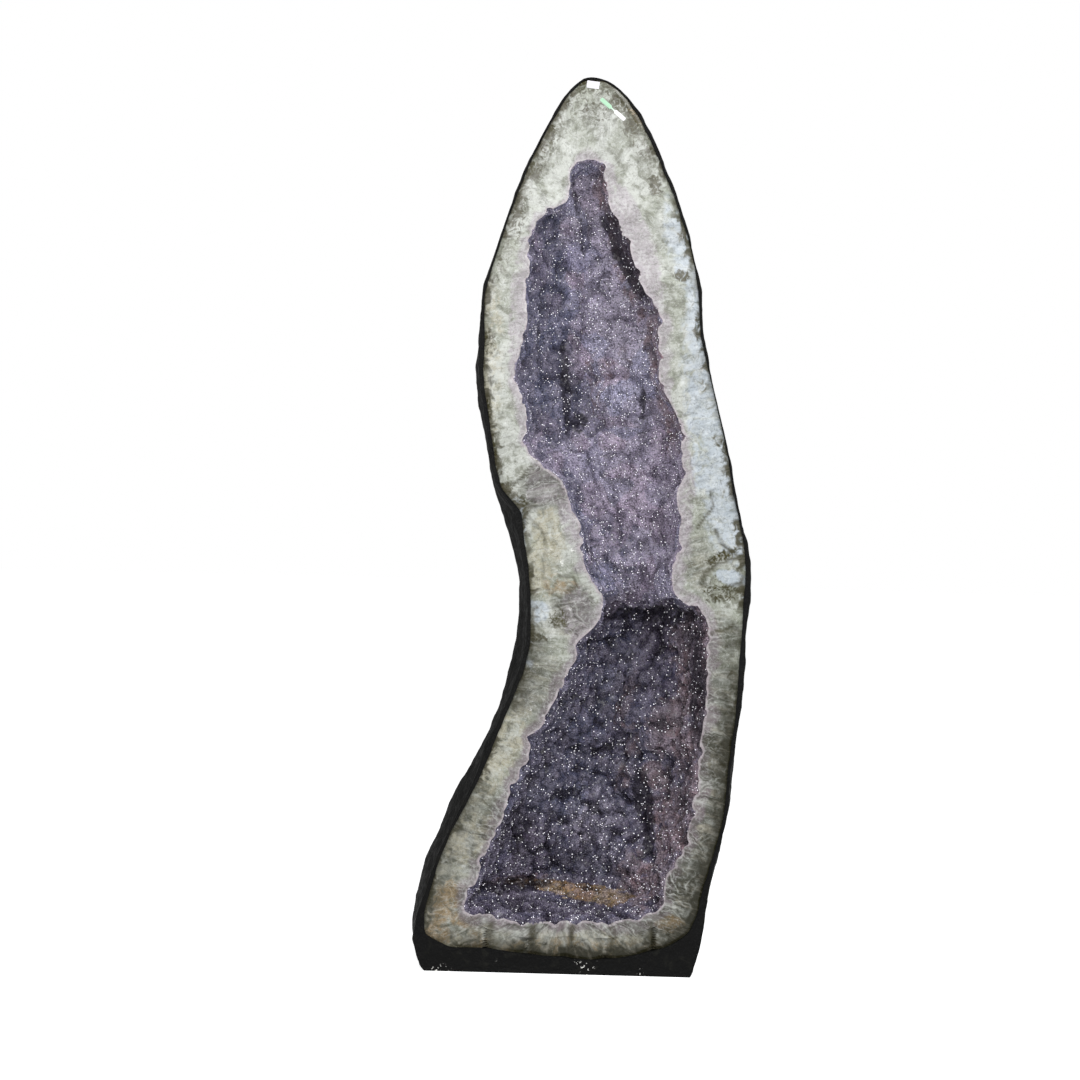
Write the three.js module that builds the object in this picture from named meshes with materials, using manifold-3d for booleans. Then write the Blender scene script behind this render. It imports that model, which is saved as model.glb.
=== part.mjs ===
// An amethyst geode of the tall "cathedral" kind, standing on its own foot. All lengths are in millimetres.
//
// Frame: the sawn and polished face lies in the plane y = 0 and looks along -Y, the stone's depth runs
// along +Y, +Z is up and z = 0 is the flat underside of the foot.
//
// The geode is a nest of bowls. From the outside in they are the black coat with its foot, the band of
// pale quartz, and the druse of amethyst that lines the open cavity. Each bowl is spread over rays that
// leave a curved spine inside the cavity: at the face a ray ends on the bowl's outline, and it draws in
// towards the spine as the bowl gets deeper. Two small stickers sit on the face near the tip.
import * as THREE from "three";
import { mergeVertices } from "three/addons/utils/BufferGeometryUtils.js";
import Module from "manifold-3d";

const wasm = await Module();
wasm.setup();

// ---------------------------------------------------------------- driving dimensions
const HEIGHT = 1500; // foot to tip
const GAP = 0.3; // air between nested pieces
const LIP = 7; // width of the coat's edge where it frames the quartz
const COAT = 14; // thickness of the coat behind the quartz
const QUARTZ = 46; // thickness of the quartz behind the druse
const LILAC = 13; // width of the druse's own sawn edge
const DRUSE = 20; // thickness of the druse at the back of the cavity
const TOOL_FRONT = -20; // how far a cutting bowl stands out of the face

// Behind its edge the coat swells to its full width, by this share of its depth.
const BULGE_AT = 0.3;
const BULGE_GAIN = 1.035; // makes up for the bowl's own draw-in at that depth

// Outlines in the plane of the face, as [x, z], anticlockwise from the middle of the foot.
const FOOT_BELOW = -150; // the outer outline runs on below the foot, which cuts it off flat
const COAT_OUTLINE = [
  [-20, FOOT_BELOW], [110, FOOT_BELOW], [170, -70], [195, 5], [206, 40], [211, 80], [222, 136], [241, 203],
  [255, 270], [262, 370], [269, 470], [271, 600], [273, 680], [264, 736], [244, 815], [229, 895], [201, 1001],
  [185, 1070], [179, 1150], [158, 1233], [135, 1299], [105, 1364], [73, 1430], [45, 1468], [10, 1495],
  [-14, HEIGHT], [-34, 1489], [-60, 1457], [-94, 1392], [-124, 1325], [-147, 1258], [-168, 1191],
  [-186, 1124], [-186, 1057], [-188, 991], [-173, 895], [-157, 800], [-139, 759], [-117, 695], [-106, 627],
  [-111, 560], [-126, 490], [-147, 415], [-184, 327], [-233, 226], [-260, 157], [-272, 90], [-273, 50],
  [-255, 10], [-215, -70], [-150, FOOT_BELOW],
];
const QUARTZ_OUTLINE = [
  [10, 26], [60, 27], [108, 37], [160, 52], [189, 74], [203, 112], [212, 160], [227, 205], [241, 270],
  [246, 350], [256, 430], [260, 505], [264, 600], [265, 685], [257, 736], [238, 815], [222, 900], [195, 1001],
  [179, 1070], [173, 1140], [152, 1233], [128, 1299], [99, 1364], [67, 1428], [39, 1462], [8, 1487],
  [-12, 1491], [-31, 1482], [-54, 1453], [-88, 1392], [-118, 1325], [-141, 1258], [-162, 1191],
  [-179, 1124], [-176, 1057], [-178, 991], [-161, 895], [-151, 825], [-142, 804], [-124, 794], [-110, 774],
  [-104, 725], [-93, 665], [-88, 590], [-91, 525], [-105, 482], [-132, 412], [-172, 310], [-216, 222],
  [-238, 158], [-251, 108], [-256, 74], [-246, 52], [-215, 40], [-150, 40], [-85, 32],
];
const CAVITY_OUTLINE = [
  [13, 88], [50, 85], [90, 93], [129, 105], [148, 111], [146, 142], [153, 174], [170, 197], [186, 244],
  [190, 289], [200, 320], [198, 365], [206, 425], [209, 480], [207, 535], [208, 592], [202, 613], [184, 612],
  [166, 627], [151, 637], [147, 685], [159, 716], [156, 745], [160, 772], [147, 797], [161, 829], [156, 872],
  [156, 917], [141, 947], [114, 1002], [118, 1030], [112, 1060], [114, 1110], [97, 1128], [78, 1160],
  [63, 1210], [43, 1244], [39, 1265], [25, 1279], [25, 1301], [14, 1315], [16, 1335], [10, 1355], [-22, 1358],
  [-44, 1343], [-43, 1310], [-48, 1284], [-85, 1267], [-108, 1226], [-110, 1197], [-105, 1172], [-114, 1140],
  [-109, 1088], [-119, 1035], [-130, 997], [-107, 942], [-106, 905], [-103, 864], [-87, 857], [-78, 841],
  [-54, 830], [-36, 807], [-30, 776], [-9, 743], [-7, 695], [2, 665], [31, 628], [27, 602], [14, 575],
  [-13, 559], [-12, 523], [-28, 503], [-35, 474], [-54, 448], [-66, 412], [-85, 396], [-88, 350],
  [-119, 300], [-124, 268], [-160, 188], [-170, 147], [-187, 122], [-194, 98], [-142, 95], [-104, 82],
  [-50, 84],
];

// The spine that the rays leave, from low to high, as [x, z].
const SPINE = [
  [-5, 140], [14, 210], [40, 300], [65, 400], [90, 500], [108, 580], [98, 645], [70, 725], [50, 820], [20, 920],
  [-5, 1020], [-3, 1120], [-18, 1220], [-16, 1290],
];

// Depth behind the face by height, as [z, depth]: the coat's back, and the back wall of the cavity, which
// steps back under the overhang between the upper and the lower chamber.
const COAT_DEPTH = [[140, 345], [450, 340], [700, 310], [950, 285], [1150, 250], [1290, 205]];
const CAVITY_DEPTH = [
  [140, 196], [240, 226], [400, 240], [560, 232], [604, 222], [638, 150], [800, 146], [1000, 150],
  [1150, 132], [1290, 92],
];

// Large rounded masses of the druse that stand out of the cavity's back wall:
// [x, z, half width, half height, how far each stands out].
const MASSES = [
  [72, 1005, 62, 88, 46], [20, 1110, 46, 70, 30], [-12, 1235, 40, 78, 22], [66, 880, 74, 58, 34],
  [78, 745, 74, 108, 44], [-60, 930, 40, 90, 10], [10, 800, 42, 66, 14], [128, 425, 52, 74, 58],
  [104, 312, 34, 42, 38], [152, 330, 38, 60, 30], [20, 430, 66, 78, 22], [-46, 300, 56, 62, 20],
  [6, 235, 72, 60, 26], [92, 196, 56, 44, 30], [84, 540, 80, 46, 12],
];

// How finely each bowl is made.
const COAT_RAYS = 92;
const CAVITY_RAYS = 124;
const COAT_STEPS = 7;
const SEAM_STEPS = 6;
const CAVITY_STEPS = 9;
const BOWL_POWER = 2.6; // over 2 makes a bowl with steeper sides and a flatter back than an ellipsoid

// The stickers, on the face near the tip.
const STICKER = 0.5; // thickness
const LABEL = { x: -8, z: 1480, width: 21, height: 12, corner: 1.2, tilt: -6 };
const TAG = { x: 26, z: 1440, length: 53, paddle: 21.5, width: 8, neck: 3, corner: 1.5, tilt: -40 };

// ---------------------------------------------------------------- curves and tables

// The value of a [position, value] table at a position, eased from each row to the next.
function tableAt(table, position) {
  const last = table.length - 1;
  if (position <= table[0][0]) return table[0][1];
  if (position >= table[last][0]) return table[last][1];
  const next = table.findIndex(([p]) => p > position);
  const [[p0, v0], [p1, v1]] = [table[next - 1], table[next]];
  return v0 + (v1 - v0) * THREE.MathUtils.smoothstep(position, p0, p1);
}

// A closed outline, evenly spaced along its length.
function closedPoints(outline, count) {
  const curve = new THREE.CatmullRomCurve3(
    outline.map(([x, z]) => new THREE.Vector3(x, 0, z)), true, "centripetal");
  curve.arcLengthDivisions = 20 * outline.length;
  return curve.getSpacedPoints(count).slice(0, count);
}

const SPINE_POINTS = new THREE.CatmullRomCurve3(
  SPINE.map(([x, z]) => new THREE.Vector3(x, 0, z)), false, "centripetal").getSpacedPoints(400);

// One ray for each of count points along an outline: its station on the spine, its direction and length.
function raysTo(outline, count) {
  return closedPoints(outline, count).map((end) => {
    const distances = SPINE_POINTS.map((p) => p.distanceTo(end));
    const reach = Math.min(...distances);
    const station = distances.indexOf(reach);
    const foot = SPINE_POINTS[station];
    return { station, foot, end, reach, direction: end.clone().sub(foot).normalize() };
  });
}

// How far each ray runs before it crosses another outline.
function reachTo(rays, outline) {
  const points = closedPoints(outline, 700);
  return rays.map(({ foot, direction }) => {
    let reach = Infinity;
    points.forEach((a, i) => {
      const b = points[(i + 1) % points.length];
      const [ex, ez] = [b.x - a.x, b.z - a.z];
      const cross = direction.x * ez - direction.z * ex;
      const along = ((a.x - foot.x) * ez - (a.z - foot.z) * ex) / cross;
      const share = ((a.x - foot.x) * direction.z - (a.z - foot.z) * direction.x) / cross;
      if (share >= 0 && share <= 1 && along > 0) reach = Math.min(reach, along);
    });
    return reach;
  });
}

// The longest of each reach and its neighbours' on either side.
function widest(reaches, neighbours) {
  const n = reaches.length;
  return reaches.map((_, i) => {
    const near = [];
    for (let k = -neighbours; k <= neighbours; k++) near.push(reaches[(i + k + n) % n]);
    return Math.max(...near);
  });
}

// ---------------------------------------------------------------- solids

// A geometry as a solid that can be joined and cut.
function solidFrom(geometry) {
  const bare = geometry.index ? geometry.toNonIndexed() : geometry.clone();
  bare.deleteAttribute("normal");
  bare.deleteAttribute("uv");
  const merged = mergeVertices(bare, 1e-4);
  return new wasm.Manifold(new wasm.Mesh({
    numProp: 3,
    vertProperties: merged.attributes.position.array,
    triVerts: new Uint32Array(merged.index.array),
  }));
}

// A finished solid as a geometry to show.
function geometryFrom(solid) {
  const { vertProperties, triVerts } = solid.getMesh();
  return new THREE.BufferGeometry()
    .setAttribute("position", new THREE.BufferAttribute(new Float32Array(vertProperties), 3))
    .setIndex(new THREE.BufferAttribute(new Uint32Array(triVerts), 1));
}

// Joins rings of points, front to back, into one closed solid. The first ring is flat. Behind the last one
// the solid closes on a ridge of points, and stations[k] is the ridge point that column k runs to.
function solidOfRings(rings, ridge, stations) {
  const count = rings[0].length;
  const index = [];
  for (let r = 0; r + 1 < rings.length; r++) {
    for (let k = 0; k < count; k++) {
      const [a, b] = [r * count + k, r * count + ((k + 1) % count)];
      index.push(a, a + count, b, b, a + count, b + count);
    }
  }
  const [last, back] = [(rings.length - 1) * count, rings.length * count];
  for (let k = 0; k < count; k++) {
    const next = (k + 1) % count;
    index.push(last + k, back + stations[k], last + next);
    const step = Math.sign(stations[next] - stations[k]);
    for (let s = stations[k]; s !== stations[next]; s += step) {
      index.push(last + next, back + s, back + s + step);
    }
  }
  const front = rings[0].map((p) => new THREE.Vector2(p.x, p.z));
  index.push(...THREE.ShapeUtils.triangulateShape(front, []).flat());
  const geometry = new THREE.BufferGeometry().setFromPoints([...rings.flat(), ...ridge]);
  geometry.setIndex(index);
  return solidFrom(geometry);
}

// The draw-in of a bowl at a share of its depth: 1 at the face, 0 at full depth.
const drawIn = (share) => Math.sqrt(1 - share ** BOWL_POWER);

// A bowl over rays. reachAt(k, share) gives ray k's length before it draws in, and depthAt(z) the depth
// over the spine at a height. grow makes the bowl that much wider and deeper, shift(point, share) may move
// each finished point, and a front below 0 makes the bowl stand that far out of the face.
function bowl({ rays, steps, reachAt, depthAt, front = 0, grow = 0, shift = (p) => p }) {
  const pointAt = (foot, offset, share) => shift(
    new THREE.Vector3(foot.x + offset.x, (depthAt(foot.z) + grow) * share, foot.z + offset.z), share);
  const ringAt = (share) => rays.map(({ foot, direction }, k) =>
    pointAt(foot, direction.clone().multiplyScalar((reachAt(k, share) + grow) * drawIn(share)), share));
  const rings = Array.from({ length: steps }, (_, s) => ringAt(Math.sin((s / steps) * Math.PI / 2)));
  if (front < 0) rings.unshift(rings[0].map((p) => p.clone().setY(front)));
  const used = [...new Set(rays.map(({ station }) => station))].sort((a, b) => a - b);
  const ridge = used.map((station) => pointAt(SPINE_POINTS[station], new THREE.Vector3(), 1));
  return solidOfRings(rings, ridge, rays.map(({ station }) => used.indexOf(station)));
}

// All of the space that the stone may fill: behind the face and above the foot's underside.
function stoneSpace() {
  const side = 2 * HEIGHT;
  return solidFrom(new THREE.BoxGeometry(side, side, side).translate(0, side / 2, side / 2));
}

// The coat's whole outer form. Its edge frames the quartz, it swells behind the face, and near the foot
// the face itself reaches out to the full width.
function coatBody(rays, quartzReach) {
  const edge = rays.map(({ end, reach }, k) => {
    const framed = Math.min(reach, quartzReach[k] + LIP);
    return THREE.MathUtils.lerp(reach, framed, THREE.MathUtils.smoothstep(end.z, 40, 150));
  });
  return bowl({
    rays,
    steps: COAT_STEPS,
    reachAt: (k, share) => THREE.MathUtils.lerp(
      edge[k], rays[k].reach * BULGE_GAIN, THREE.MathUtils.smoothstep(share, 0, BULGE_AT)),
    depthAt: (z) => tableAt(COAT_DEPTH, z),
  });
}

// The quartz's outer form, grown outwards by some millimetres.
function quartzBody(rays, quartzReach, grow) {
  return bowl({
    rays,
    steps: SEAM_STEPS,
    front: TOOL_FRONT,
    grow,
    reachAt: (k) => quartzReach[k],
    depthAt: (z) => tableAt(COAT_DEPTH, z) - COAT,
  });
}

// The druse's outer form, grown outwards by some millimetres.
function druseBody(rays, grow) {
  const reach = widest(rays.map((ray) => ray.reach), 1);
  return bowl({
    rays,
    steps: SEAM_STEPS,
    front: TOOL_FRONT,
    grow,
    reachAt: (k) => reach[k] + LILAC,
    depthAt: (z) => tableAt(COAT_DEPTH, z) - COAT - QUARTZ,
  });
}

// How far the druse's masses push a point of the cavity's wall towards the face.
function massPush({ x, z }) {
  const pushes = MASSES.map(([cx, cz, halfWidth, halfHeight, height]) => {
    const d2 = ((x - cx) / halfWidth) ** 2 + ((z - cz) / halfHeight) ** 2;
    return d2 < 1 ? height * Math.sqrt(1 - d2) : 0;
  });
  return Math.max(...pushes);
}

// The open cavity, as a solid to cut with. The druse is as thick as the space between it and the quartz.
function cavityBody(rays) {
  return bowl({
    rays,
    steps: CAVITY_STEPS,
    front: TOOL_FRONT,
    reachAt: (k) => rays[k].reach,
    depthAt: (z) => Math.min(tableAt(CAVITY_DEPTH, z), tableAt(COAT_DEPTH, z) - COAT - QUARTZ - DRUSE),
    shift: (p, share) => p.setY(p.y - massPush(p) * THREE.MathUtils.smoothstep(share, 0.35, 0.8)),
  });
}

// ---------------------------------------------------------------- stickers

// A rectangle with round corners.
function roundedRectangle(width, height, corner) {
  const [w, h] = [width / 2, height / 2];
  return new THREE.Shape()
    .moveTo(-w + corner, -h)
    .lineTo(w - corner, -h).absarc(w - corner, -h + corner, corner, -Math.PI / 2, 0)
    .lineTo(w, h - corner).absarc(w - corner, h - corner, corner, 0, Math.PI / 2)
    .lineTo(-w + corner, h).absarc(-w + corner, h - corner, corner, Math.PI / 2, Math.PI)
    .lineTo(-w, -h + corner).absarc(-w + corner, -h + corner, corner, Math.PI, 1.5 * Math.PI);
}

// A tag of two paddles with a narrow neck between them.
function dumbbell({ length, paddle, width, neck, corner }) {
  const [l, w, n, start] = [length / 2, width / 2, neck / 2, length / 2 - paddle];
  const shape = new THREE.Shape().moveTo(-l + corner, -w);
  shape.lineTo(-start, -w).lineTo(-start + corner, -n).lineTo(start - corner, -n).lineTo(start, -w);
  shape.lineTo(l - corner, -w).absarc(l - corner, -w + corner, corner, -Math.PI / 2, 0);
  shape.lineTo(l, w - corner).absarc(l - corner, w - corner, corner, 0, Math.PI / 2);
  shape.lineTo(start, w).lineTo(start - corner, n).lineTo(-start + corner, n).lineTo(-start, w);
  shape.lineTo(-l + corner, w).absarc(-l + corner, w - corner, corner, Math.PI / 2, Math.PI);
  return shape.lineTo(-l, -w + corner).absarc(-l + corner, -w + corner, corner, Math.PI, 1.5 * Math.PI);
}

// Cuts a shape out of thin sheet and stands it against the face.
function sticker(name, shape, { x, z, tilt }, material) {
  const sheet = new THREE.ExtrudeGeometry(shape, { depth: STICKER, bevelEnabled: false, curveSegments: 4 });
  const mesh = new THREE.Mesh(geometryFrom(solidFrom(sheet)), material);
  mesh.name = name;
  mesh.rotation.set(Math.PI / 2, 0, 0);
  mesh.rotateZ(THREE.MathUtils.degToRad(tilt));
  mesh.position.set(x, -GAP, z);
  return mesh;
}

// ---------------------------------------------------------------- the geode

const MATERIALS = {
  coat: new THREE.MeshStandardMaterial({ color: 0x16171a, roughness: 0.55 }),
  quartz: new THREE.MeshStandardMaterial({ color: 0xb9bcaa, roughness: 0.22 }),
  amethyst: new THREE.MeshStandardMaterial({ color: 0x6c6278, roughness: 0.3 }),
  label: new THREE.MeshStandardMaterial({ color: 0xf4f0f6, roughness: 0.7 }),
  tag: new THREE.MeshStandardMaterial({ color: 0xd6f0dc, roughness: 0.5 }),
};

function stonePiece(name, solid, material) {
  const mesh = new THREE.Mesh(geometryFrom(solid), material);
  mesh.name = name;
  return mesh;
}

function makeGeode() {
  const coatRays = raysTo(COAT_OUTLINE, COAT_RAYS);
  const quartzReach = reachTo(coatRays, QUARTZ_OUTLINE);
  const cavityRays = raysTo(CAVITY_OUTLINE, CAVITY_RAYS);
  const stone = coatBody(coatRays, quartzReach).intersect(stoneSpace());

  const coat = stone.subtract(quartzBody(coatRays, quartzReach, GAP));
  const quartz = stone
    .intersect(quartzBody(coatRays, quartzReach, 0))
    .subtract(druseBody(cavityRays, GAP));
  const druse = stone.intersect(druseBody(cavityRays, 0)).subtract(cavityBody(cavityRays));

  const geode = new THREE.Group();
  geode.add(
    stonePiece("black_coat_and_foot", coat, MATERIALS.coat),
    stonePiece("quartz_band", quartz, MATERIALS.quartz),
    stonePiece("amethyst_druse", druse, MATERIALS.amethyst),
    sticker("price_label", roundedRectangle(LABEL.width, LABEL.height, LABEL.corner), LABEL, MATERIALS.label),
    sticker("dumbbell_tag", dumbbell(TAG), TAG, MATERIALS.tag),
  );
  return geode;
}

// The frame's origin is the middle of the box round the geode, at the height of the foot.
function centred(geode) {
  const box = new THREE.Box3().setFromObject(geode);
  const middle = box.getCenter(new THREE.Vector3());
  geode.position.set(-middle.x, -middle.y, -box.min.z);
  return geode;
}

const geode = centred(makeGeode());

export default geode;
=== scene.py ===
"""An amethyst geode, tall and curved, sawn open along its length and standing on its own black foot.

Every length is in metres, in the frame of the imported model: +Z is up, the sawn face looks along -Y and the
underside of the foot is at z = 0.
"""

import logging
import math
from collections.abc import Callable, Sequence
from dataclasses import dataclass, field
from enum import Enum
from typing import ClassVar

import bmesh
import bpy
import numpy as np
from bpy.types import Material, Node, NodeSocket, NodeTree, Object
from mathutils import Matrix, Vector
from mathutils.bvhtree import BVHTree
from mathutils.kdtree import KDTree


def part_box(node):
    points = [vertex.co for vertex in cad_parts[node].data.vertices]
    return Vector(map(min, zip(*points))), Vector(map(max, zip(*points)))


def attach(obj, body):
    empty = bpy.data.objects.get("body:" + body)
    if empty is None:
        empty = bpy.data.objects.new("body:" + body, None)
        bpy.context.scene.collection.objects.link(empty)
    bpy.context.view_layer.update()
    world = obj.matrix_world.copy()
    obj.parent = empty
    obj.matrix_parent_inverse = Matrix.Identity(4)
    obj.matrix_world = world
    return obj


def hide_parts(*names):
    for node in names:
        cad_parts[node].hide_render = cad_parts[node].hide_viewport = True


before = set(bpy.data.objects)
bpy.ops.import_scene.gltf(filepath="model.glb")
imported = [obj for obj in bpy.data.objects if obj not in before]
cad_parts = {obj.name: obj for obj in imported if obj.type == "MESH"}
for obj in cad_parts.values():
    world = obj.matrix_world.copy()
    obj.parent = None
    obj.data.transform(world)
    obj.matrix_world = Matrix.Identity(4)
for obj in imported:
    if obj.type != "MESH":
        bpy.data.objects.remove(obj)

logging.basicConfig(level=logging.INFO, format="%(message)s")
LOG = logging.getLogger("geode")

MM = 0.001
FACE_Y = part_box("quartz_band")[0].y  # the plane of the sawn face
SEAM = 0.2 * MM  # air left between two pieces where they meet
HAIRLINE = 0.02 * MM  # air left along the healed seam between the quartz and the druse
SHARP = math.radians(55)  # edges that bend more than this are shaded sharp


# ---------------------------------------------------------------- numbers over space


def smoothstep(value: np.ndarray, low: float, high: float) -> np.ndarray:
    """Eases from 0 at low to 1 at high."""
    share = np.clip((value - low) / (high - low), 0, 1)
    return share * share * (3 - 2 * share)


def random_at(cells: np.ndarray, seed: int) -> np.ndarray:
    """A random number from -1 to 1 for each cell of a lattice.

    Args:
        cells: whole numbers, three to a cell.
        seed: picks one of many patterns.

    Returns:
        One number for each cell, the same on every run.
    """
    mixed = cells[..., 0] * 374761393 + cells[..., 1] * 668265263 + cells[..., 2] * 1440662683 + seed * 7919
    mixed = (mixed ^ (mixed >> 13)) * 1274126177
    return ((mixed ^ (mixed >> 16)) & 0xFFFF) / 32767.5 - 1


def grain(points: np.ndarray, cell: float, seed: int, octaves: int = 1) -> np.ndarray:
    """Smooth random values over space.

    Args:
        points: places, three coordinates each.
        cell: the size of the largest lumps.
        seed: picks one of many patterns.
        octaves: how many times the pattern is repeated at half the size and half the strength.

    Returns:
        A value from about -1 to 1 for each place.
    """
    total = np.zeros(len(points))
    for octave in range(octaves):
        scaled = points / (cell * 0.5**octave)
        low = np.floor(scaled).astype(np.int64)
        ease = scaled - low
        ease = ease * ease * (3 - 2 * ease)
        for corner in np.ndindex(2, 2, 2):
            weight = np.prod(np.where(corner, ease, 1 - ease), axis=1)
            total += 0.5**octave * weight * random_at(low + np.array(corner), seed + 31 * octave)
    return total


# ---------------------------------------------------------------- outlines and the spine


def triangles_of(node: Object) -> np.ndarray:
    """The corners of a node's triangles, as an array of (triangle, corner, coordinate)."""
    mesh = node.data
    mesh.calc_loop_triangles()
    places = np.empty(3 * len(mesh.vertices))
    mesh.vertices.foreach_get("co", places)
    corners = np.empty(3 * len(mesh.loop_triangles), dtype=np.int64)
    mesh.loop_triangles.foreach_get("vertices", corners)
    return places.reshape(-1, 3)[corners.reshape(-1, 3)]


@dataclass(frozen=True)
class Outline:
    """A closed line in the plane of the face, anticlockwise seen from the front, as x and z."""

    points: np.ndarray

    @property
    def area(self) -> float:
        """The area inside, negative for a clockwise line."""
        x, z = self.points.T
        return float(np.sum(x * np.roll(z, -1) - np.roll(x, -1) * z) / 2)

    def spaced(self, count: int, ease: float) -> "Outline":
        """Spaces points evenly along the line.

        Args:
            count: how many points.
            ease: the length over which corners are rounded.

        Returns:
            The new outline, which starts at the middle of its foot.
        """
        fine = 6000
        closed = np.vstack([self.points, self.points[:1]])
        run = np.concatenate([[0], np.cumsum(np.linalg.norm(np.diff(closed, axis=0), axis=1))])
        even = np.linspace(0, run[-1], fine, endpoint=False)
        dense = np.stack([np.interp(even, run, closed[:, axis]) for axis in (0, 1)], axis=1)
        keep = np.exp(-2 * (math.pi * ease * np.fft.fftfreq(fine, run[-1] / fine)) ** 2)
        dense = np.fft.ifft(np.fft.fft(dense, axis=0) * keep[:, None], axis=0).real
        low = dense[:, 1] < dense[:, 1].min() + 0.05
        start = np.argmin(np.abs(dense[:, 0] - dense[low, 0].mean()) + ~low)
        dense = np.roll(dense, -start, axis=0)
        closed = np.vstack([dense, dense[:1]])
        run = np.concatenate([[0], np.cumsum(np.linalg.norm(np.diff(closed, axis=0), axis=1))])
        even = np.linspace(0, run[-1], count, endpoint=False)
        return Outline(np.stack([np.interp(even, run, closed[:, axis]) for axis in (0, 1)], axis=1))

    def crossings(self, feet: np.ndarray, directions: np.ndarray, near: np.ndarray | None = None) -> np.ndarray:
        """Where rays cross the outline.

        Args:
            feet: where the rays start, as x and z.
            directions: unit vectors.
            near: where set, the crossing nearest to this length counts, and not the last one.

        Returns:
            Each ray's length, and how far round the outline its crossing lies.
        """
        a, b = self.points, np.roll(self.points, -1, axis=0)
        edge = b - a
        sizes = np.linalg.norm(edge, axis=1)
        starts = np.cumsum(sizes) - sizes
        found = np.zeros((len(feet), 2))
        for k, (foot, direction) in enumerate(zip(feet, directions)):
            cross = direction[0] * edge[:, 1] - direction[1] * edge[:, 0]
            cross = np.where(np.abs(cross) < 1e-12, 1e-12, cross)
            gap = a - foot
            along = (gap[:, 0] * edge[:, 1] - gap[:, 1] * edge[:, 0]) / cross
            share = (gap[:, 0] * direction[1] - gap[:, 1] * direction[0]) / cross
            hits = np.flatnonzero((share >= 0) & (share <= 1) & (along > 0))
            best = hits[along[hits].argmax() if near is None else np.abs(along[hits] - near[k]).argmin()]
            found[k] = along[best], starts[best] + share[best] * sizes[best]
        return found

    def opposite(self, columns: "Columns") -> np.ndarray:
        """Places on the outline that face each column's end, in even steps that never turn back.

        Args:
            columns: the columns of a mesh inside the outline.

        Returns:
            One place for each column, as x and z.
        """
        run = self.crossings(columns.feet, columns.directions)[:, 1]
        closed = np.vstack([self.points, self.points[:1]])
        starts = np.concatenate([[0], np.cumsum(np.linalg.norm(np.diff(closed, axis=0), axis=1))])
        total, count = starts[-1], len(run)
        steps = (np.diff(run, append=run[:1]) + total / 2) % total - total / 2
        turned = run[0] + np.concatenate([[0], np.cumsum(steps)[:-1]])
        spread = np.exp(-2 * (math.pi * 9 * np.fft.fftfreq(count)) ** 2)
        steps = np.maximum(np.fft.ifft(np.fft.fft(steps) * spread).real, 0.1 * total / count)
        even = np.concatenate([[0], np.cumsum(steps * total / steps.sum())[:-1]])
        even += np.mean(turned - even)
        return np.stack([np.interp(even % total, starts, closed[:, axis]) for axis in (0, 1)], axis=1)


def at_depth(flat: np.ndarray, depth: float = 0.0) -> np.ndarray:
    """Places given as x and z, set at a depth behind the face."""
    return np.stack([flat[:, 0], np.full(len(flat), FACE_Y + depth), flat[:, 1]], axis=1)


def face_outlines(node: Object) -> list[Outline]:
    """The border lines of a node's part of the sawn face, the longest first."""
    corners = triangles_of(node)
    flat = corners[(np.abs(corners[:, :, 1] - FACE_Y) < 0.02 * MM).all(axis=1)]
    keys = np.round(flat[:, :, (0, 2)] * 1e5).astype(np.int64)
    edges = {(tuple(t[i]), tuple(t[(i + 1) % 3])) for t in keys for i in range(3)}
    follow = {a: b for a, b in edges if (b, a) not in edges}
    outlines = []
    while follow:
        first = min(follow)
        line, at = [first], follow.pop(first)
        while at != first:
            line.append(at)
            at = follow.pop(at)
        outlines.append(Outline(np.array(line) / 1e5))
    outlines.sort(key=lambda outline: -abs(outline.area))
    return [o if o.area > 0 else Outline(o.points[::-1]) for o in outlines]


class Spine:
    """The line through the middle of the hollow, in the plane of the face, that every column leaves."""

    END = 52 * MM  # how far the spine's ends stay from the hollow's foot and tip
    COUNT = 300
    EASE = 30  # how often the line is smoothed

    def __init__(self, rim: Outline) -> None:
        """Finds the middle between the hollow's sides at each height.

        Args:
            rim: the hollow's outline.
        """
        x, z = rim.points.T
        heights = np.linspace(z.min() + self.END, z.max() - self.END, 60)
        sides = np.array([self._sides(rim, height) for height in heights]).mean(axis=1)
        for _ in range(self.EASE):
            sides[1:-1] = (sides[:-2] + 2 * sides[1:-1] + sides[2:]) / 4
        fine = np.linspace(heights[0], heights[-1], self.COUNT)
        self.points = np.stack([np.interp(fine, heights, sides), fine], axis=1)

    @staticmethod
    def _sides(rim: Outline, height: float) -> tuple[float, float]:
        """The lowest and highest x at which the rim crosses a height."""
        a, b = rim.points, np.roll(rim.points, -1, axis=0)
        crossing = (a[:, 1] - height) * (b[:, 1] - height) < 0
        share = (height - a[crossing, 1]) / (b[crossing, 1] - a[crossing, 1])
        xs = a[crossing, 0] + share * (b[crossing, 0] - a[crossing, 0])
        return float(xs.min()), float(xs.max())

    def stations(self, ends: np.ndarray) -> np.ndarray:
        """The number of the spine point nearest to each end."""
        gaps = np.linalg.norm(ends[:, None, :] - self.points[None, :, :], axis=2)
        return gaps.argmin(axis=1)


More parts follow.
